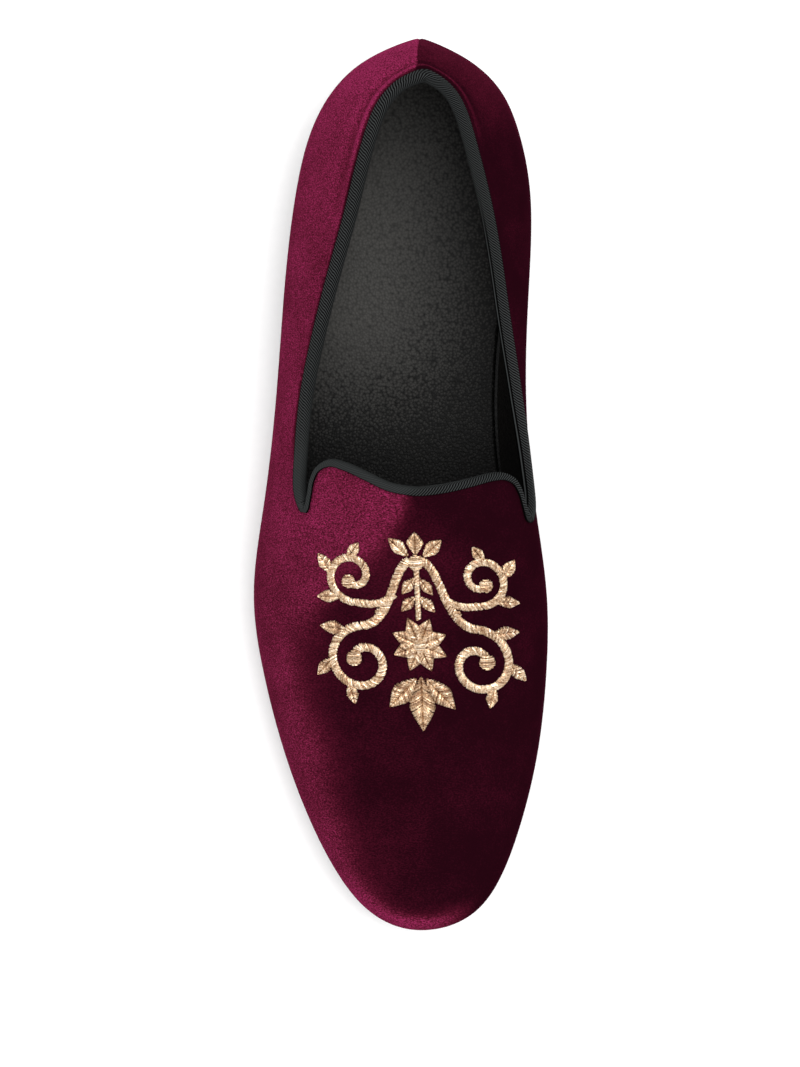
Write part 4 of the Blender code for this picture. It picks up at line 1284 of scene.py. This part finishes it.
class SLIPPER_OT_sole(bpy.types.Operator):
    """Builds the leather outsole and the heel block"""

    bl_idname = "slipper.sole"
    bl_label = "Sole and heel"

    def execute(self, context):
        def top(along):
            return seat_height(along) - GAP

        def bottom(along):
            return np.maximum(top(along) - SOLE_THICKNESS, 0.0)

        made = leather("burnished_sole_leather", tint("sole"), SOLE_FINISH)
        rings = plate_rings(SOLE_MARGIN, bottom, top, SOLE_EDGE_ROUND)
        lofted_piece("leather_outsole", rings, made, "outsole")
        lofted_piece("leather_heel", self.heel_rings(), made, "heel", is_plate=False)
        return {"FINISHED"}

    def heel_rings(self):
        """Rings of the heel block, from its rounded and tapered bottom up to the sole."""
        outline = grown(feather_loop(), SOLE_MARGIN - SOLE_EDGE_ROUND)
        from_toe = np.roll(outline, SOLE_SEGMENTS // 2, axis=0)
        back = [point for point in from_toe if point[1] < HEEL_BREAST_AT]
        share = np.linspace(0, 1, BREAST_SEGMENTS + 1)[1:-1, None]
        breast = back[-1] + (back[0] - back[-1]) * share
        breast[:, 1] -= HEEL_BREAST_HOLLOW * np.sin(math.pi * share[:, 0])
        loop = np.concatenate([back, breast])
        middle = loop.mean(axis=0)
        height = HEEL_SEAT - GAP - SOLE_THICKNESS - GAP
        rings = []
        levels = [(HEEL_TAPER + inset, lift) for inset, lift in rounding(HEEL_EDGE_ROUND)]
        levels.append((0.0, height))
        for inset, up in levels:
            reach = np.linalg.norm(loop - middle, axis=1, keepdims=True)
            moved = middle + (loop - middle) * (1 - inset / reach)
            rings.append(stacked(moved[:, 0], moved[:, 1], up))
        return rings


Lamp = namedtuple("Lamp", "name place size watts")


class SLIPPER_OT_stage(bpy.types.Operator):
    """Sets the pale floor, the soft studio light and the camera"""

    bl_idname = "slipper.stage"
    bl_label = "Stage"

    FRAME = (800, 1067)
    CAMERA_AT = (0.0527, -0.0151, 1.7)
    FOCAL_PIXELS = 5128.0
    SENSOR = 36.0
    SHOE_MIDDLE_PIXEL = 238.2
    FLOOR_SIZE = 6.0
    SKY_STRENGTH = 0.9
    LAMPS = (Lamp("overhead", (0.7, 0.2, 2.5), 2.0, 62.0), Lamp("left_fill", (-1.6, 0.2, 1.2), 1.4, 9.0))

    def execute(self, context):
        scene = context.scene
        bpy.ops.mesh.primitive_plane_add(size=self.FLOOR_SIZE, location=(0.0, 0.0, 0.0))
        floor = context.active_object
        floor.name = "studio_floor"
        made, tree, shader = new_material("matt_studio_paper", Roughness=0.9, Specular_IOR_Level=0.1)
        place = add(tree, "TexCoord", output="Object")
        fibre = add(tree, "TexNoise", {"Vector": place, "Scale": 1 / (3 * MM), "Detail": 2.0})
        stops = [(0.3, shaded(tint("floor"), 0.985)), (0.7, tint("floor"))]
        tree.links.new(add(tree, "ValToRGB", {"Fac": fibre}, stops), shader.inputs["Base Color"])
        floor.data.materials.append(made)
        world = bpy.data.worlds.new("studio")
        world.use_nodes = True
        sky = world.node_tree.nodes["Background"].inputs
        sky["Color"].default_value = (1.0, 1.0, 1.0, 1.0)
        sky["Strength"].default_value = self.SKY_STRENGTH
        scene.world = world
        for lamp in self.LAMPS:
            light = bpy.data.lights.new(lamp.name, "AREA")
            light.size = lamp.size
            light.energy = lamp.watts
            stand = bpy.data.objects.new(lamp.name, light)
            stand.location = lamp.place
            stand.rotation_euler = (-Vector(lamp.place)).to_track_quat("-Z", "Y").to_euler()
            scene.collection.objects.link(stand)
        camera = bpy.data.objects.new("camera", bpy.data.cameras.new("camera"))
        camera.location = self.CAMERA_AT
        camera.data.sensor_width = self.SENSOR
        camera.data.lens = self.SENSOR * self.FOCAL_PIXELS / max(self.FRAME)
        camera.data.shift_x = (self.SHOE_MIDDLE_PIXEL - self.FRAME[0] / 2) / max(self.FRAME)
        scene.collection.objects.link(camera)
        scene.camera = camera
        scene.view_settings.view_transform = "Standard"
        return {"FINISHED"}


class SLIPPER_PT_panel(bpy.types.Panel):
    """Lists the pieces of the slipper and their settings"""

    bl_idname = "SLIPPER_PT_panel"
    bl_label = "Velvet slipper"
    bl_space_type = "VIEW_3D"
    bl_region_type = "UI"
    bl_category = "Slipper"

    def draw(self, context):
        for operator in OPERATORS:
            self.layout.operator(operator.bl_idname)
        for group in (context.scene.slipper_sizes, context.scene.slipper_colours):
            for name in group.__annotations__:
                self.layout.prop(group, name)


OPERATORS = (
    SLIPPER_OT_stage,
    SLIPPER_OT_upper,
    SLIPPER_OT_ribbon,
    SLIPPER_OT_embroidery,
    SLIPPER_OT_sock,
    SLIPPER_OT_sole,
)
CLASSES = (SlipperSizes, SlipperColours, *OPERATORS, SLIPPER_PT_panel)


def register():
    for made in CLASSES:
        bpy.utils.register_class(made)
    bpy.types.Scene.slipper_sizes = bpy.props.PointerProperty(type=SlipperSizes)
    bpy.types.Scene.slipper_colours = bpy.props.PointerProperty(type=SlipperColours)


def unregister():
    del bpy.types.Scene.slipper_colours
    del bpy.types.Scene.slipper_sizes
    for made in reversed(CLASSES):
        bpy.utils.unregister_class(made)


def main():
    register()
    bpy.ops.slipper.stage()
    bpy.ops.slipper.upper()
    bpy.ops.slipper.ribbon()
    bpy.ops.slipper.embroidery()
    bpy.ops.slipper.sock()
    bpy.ops.slipper.sole()


if __name__ == "__main__":
    main()
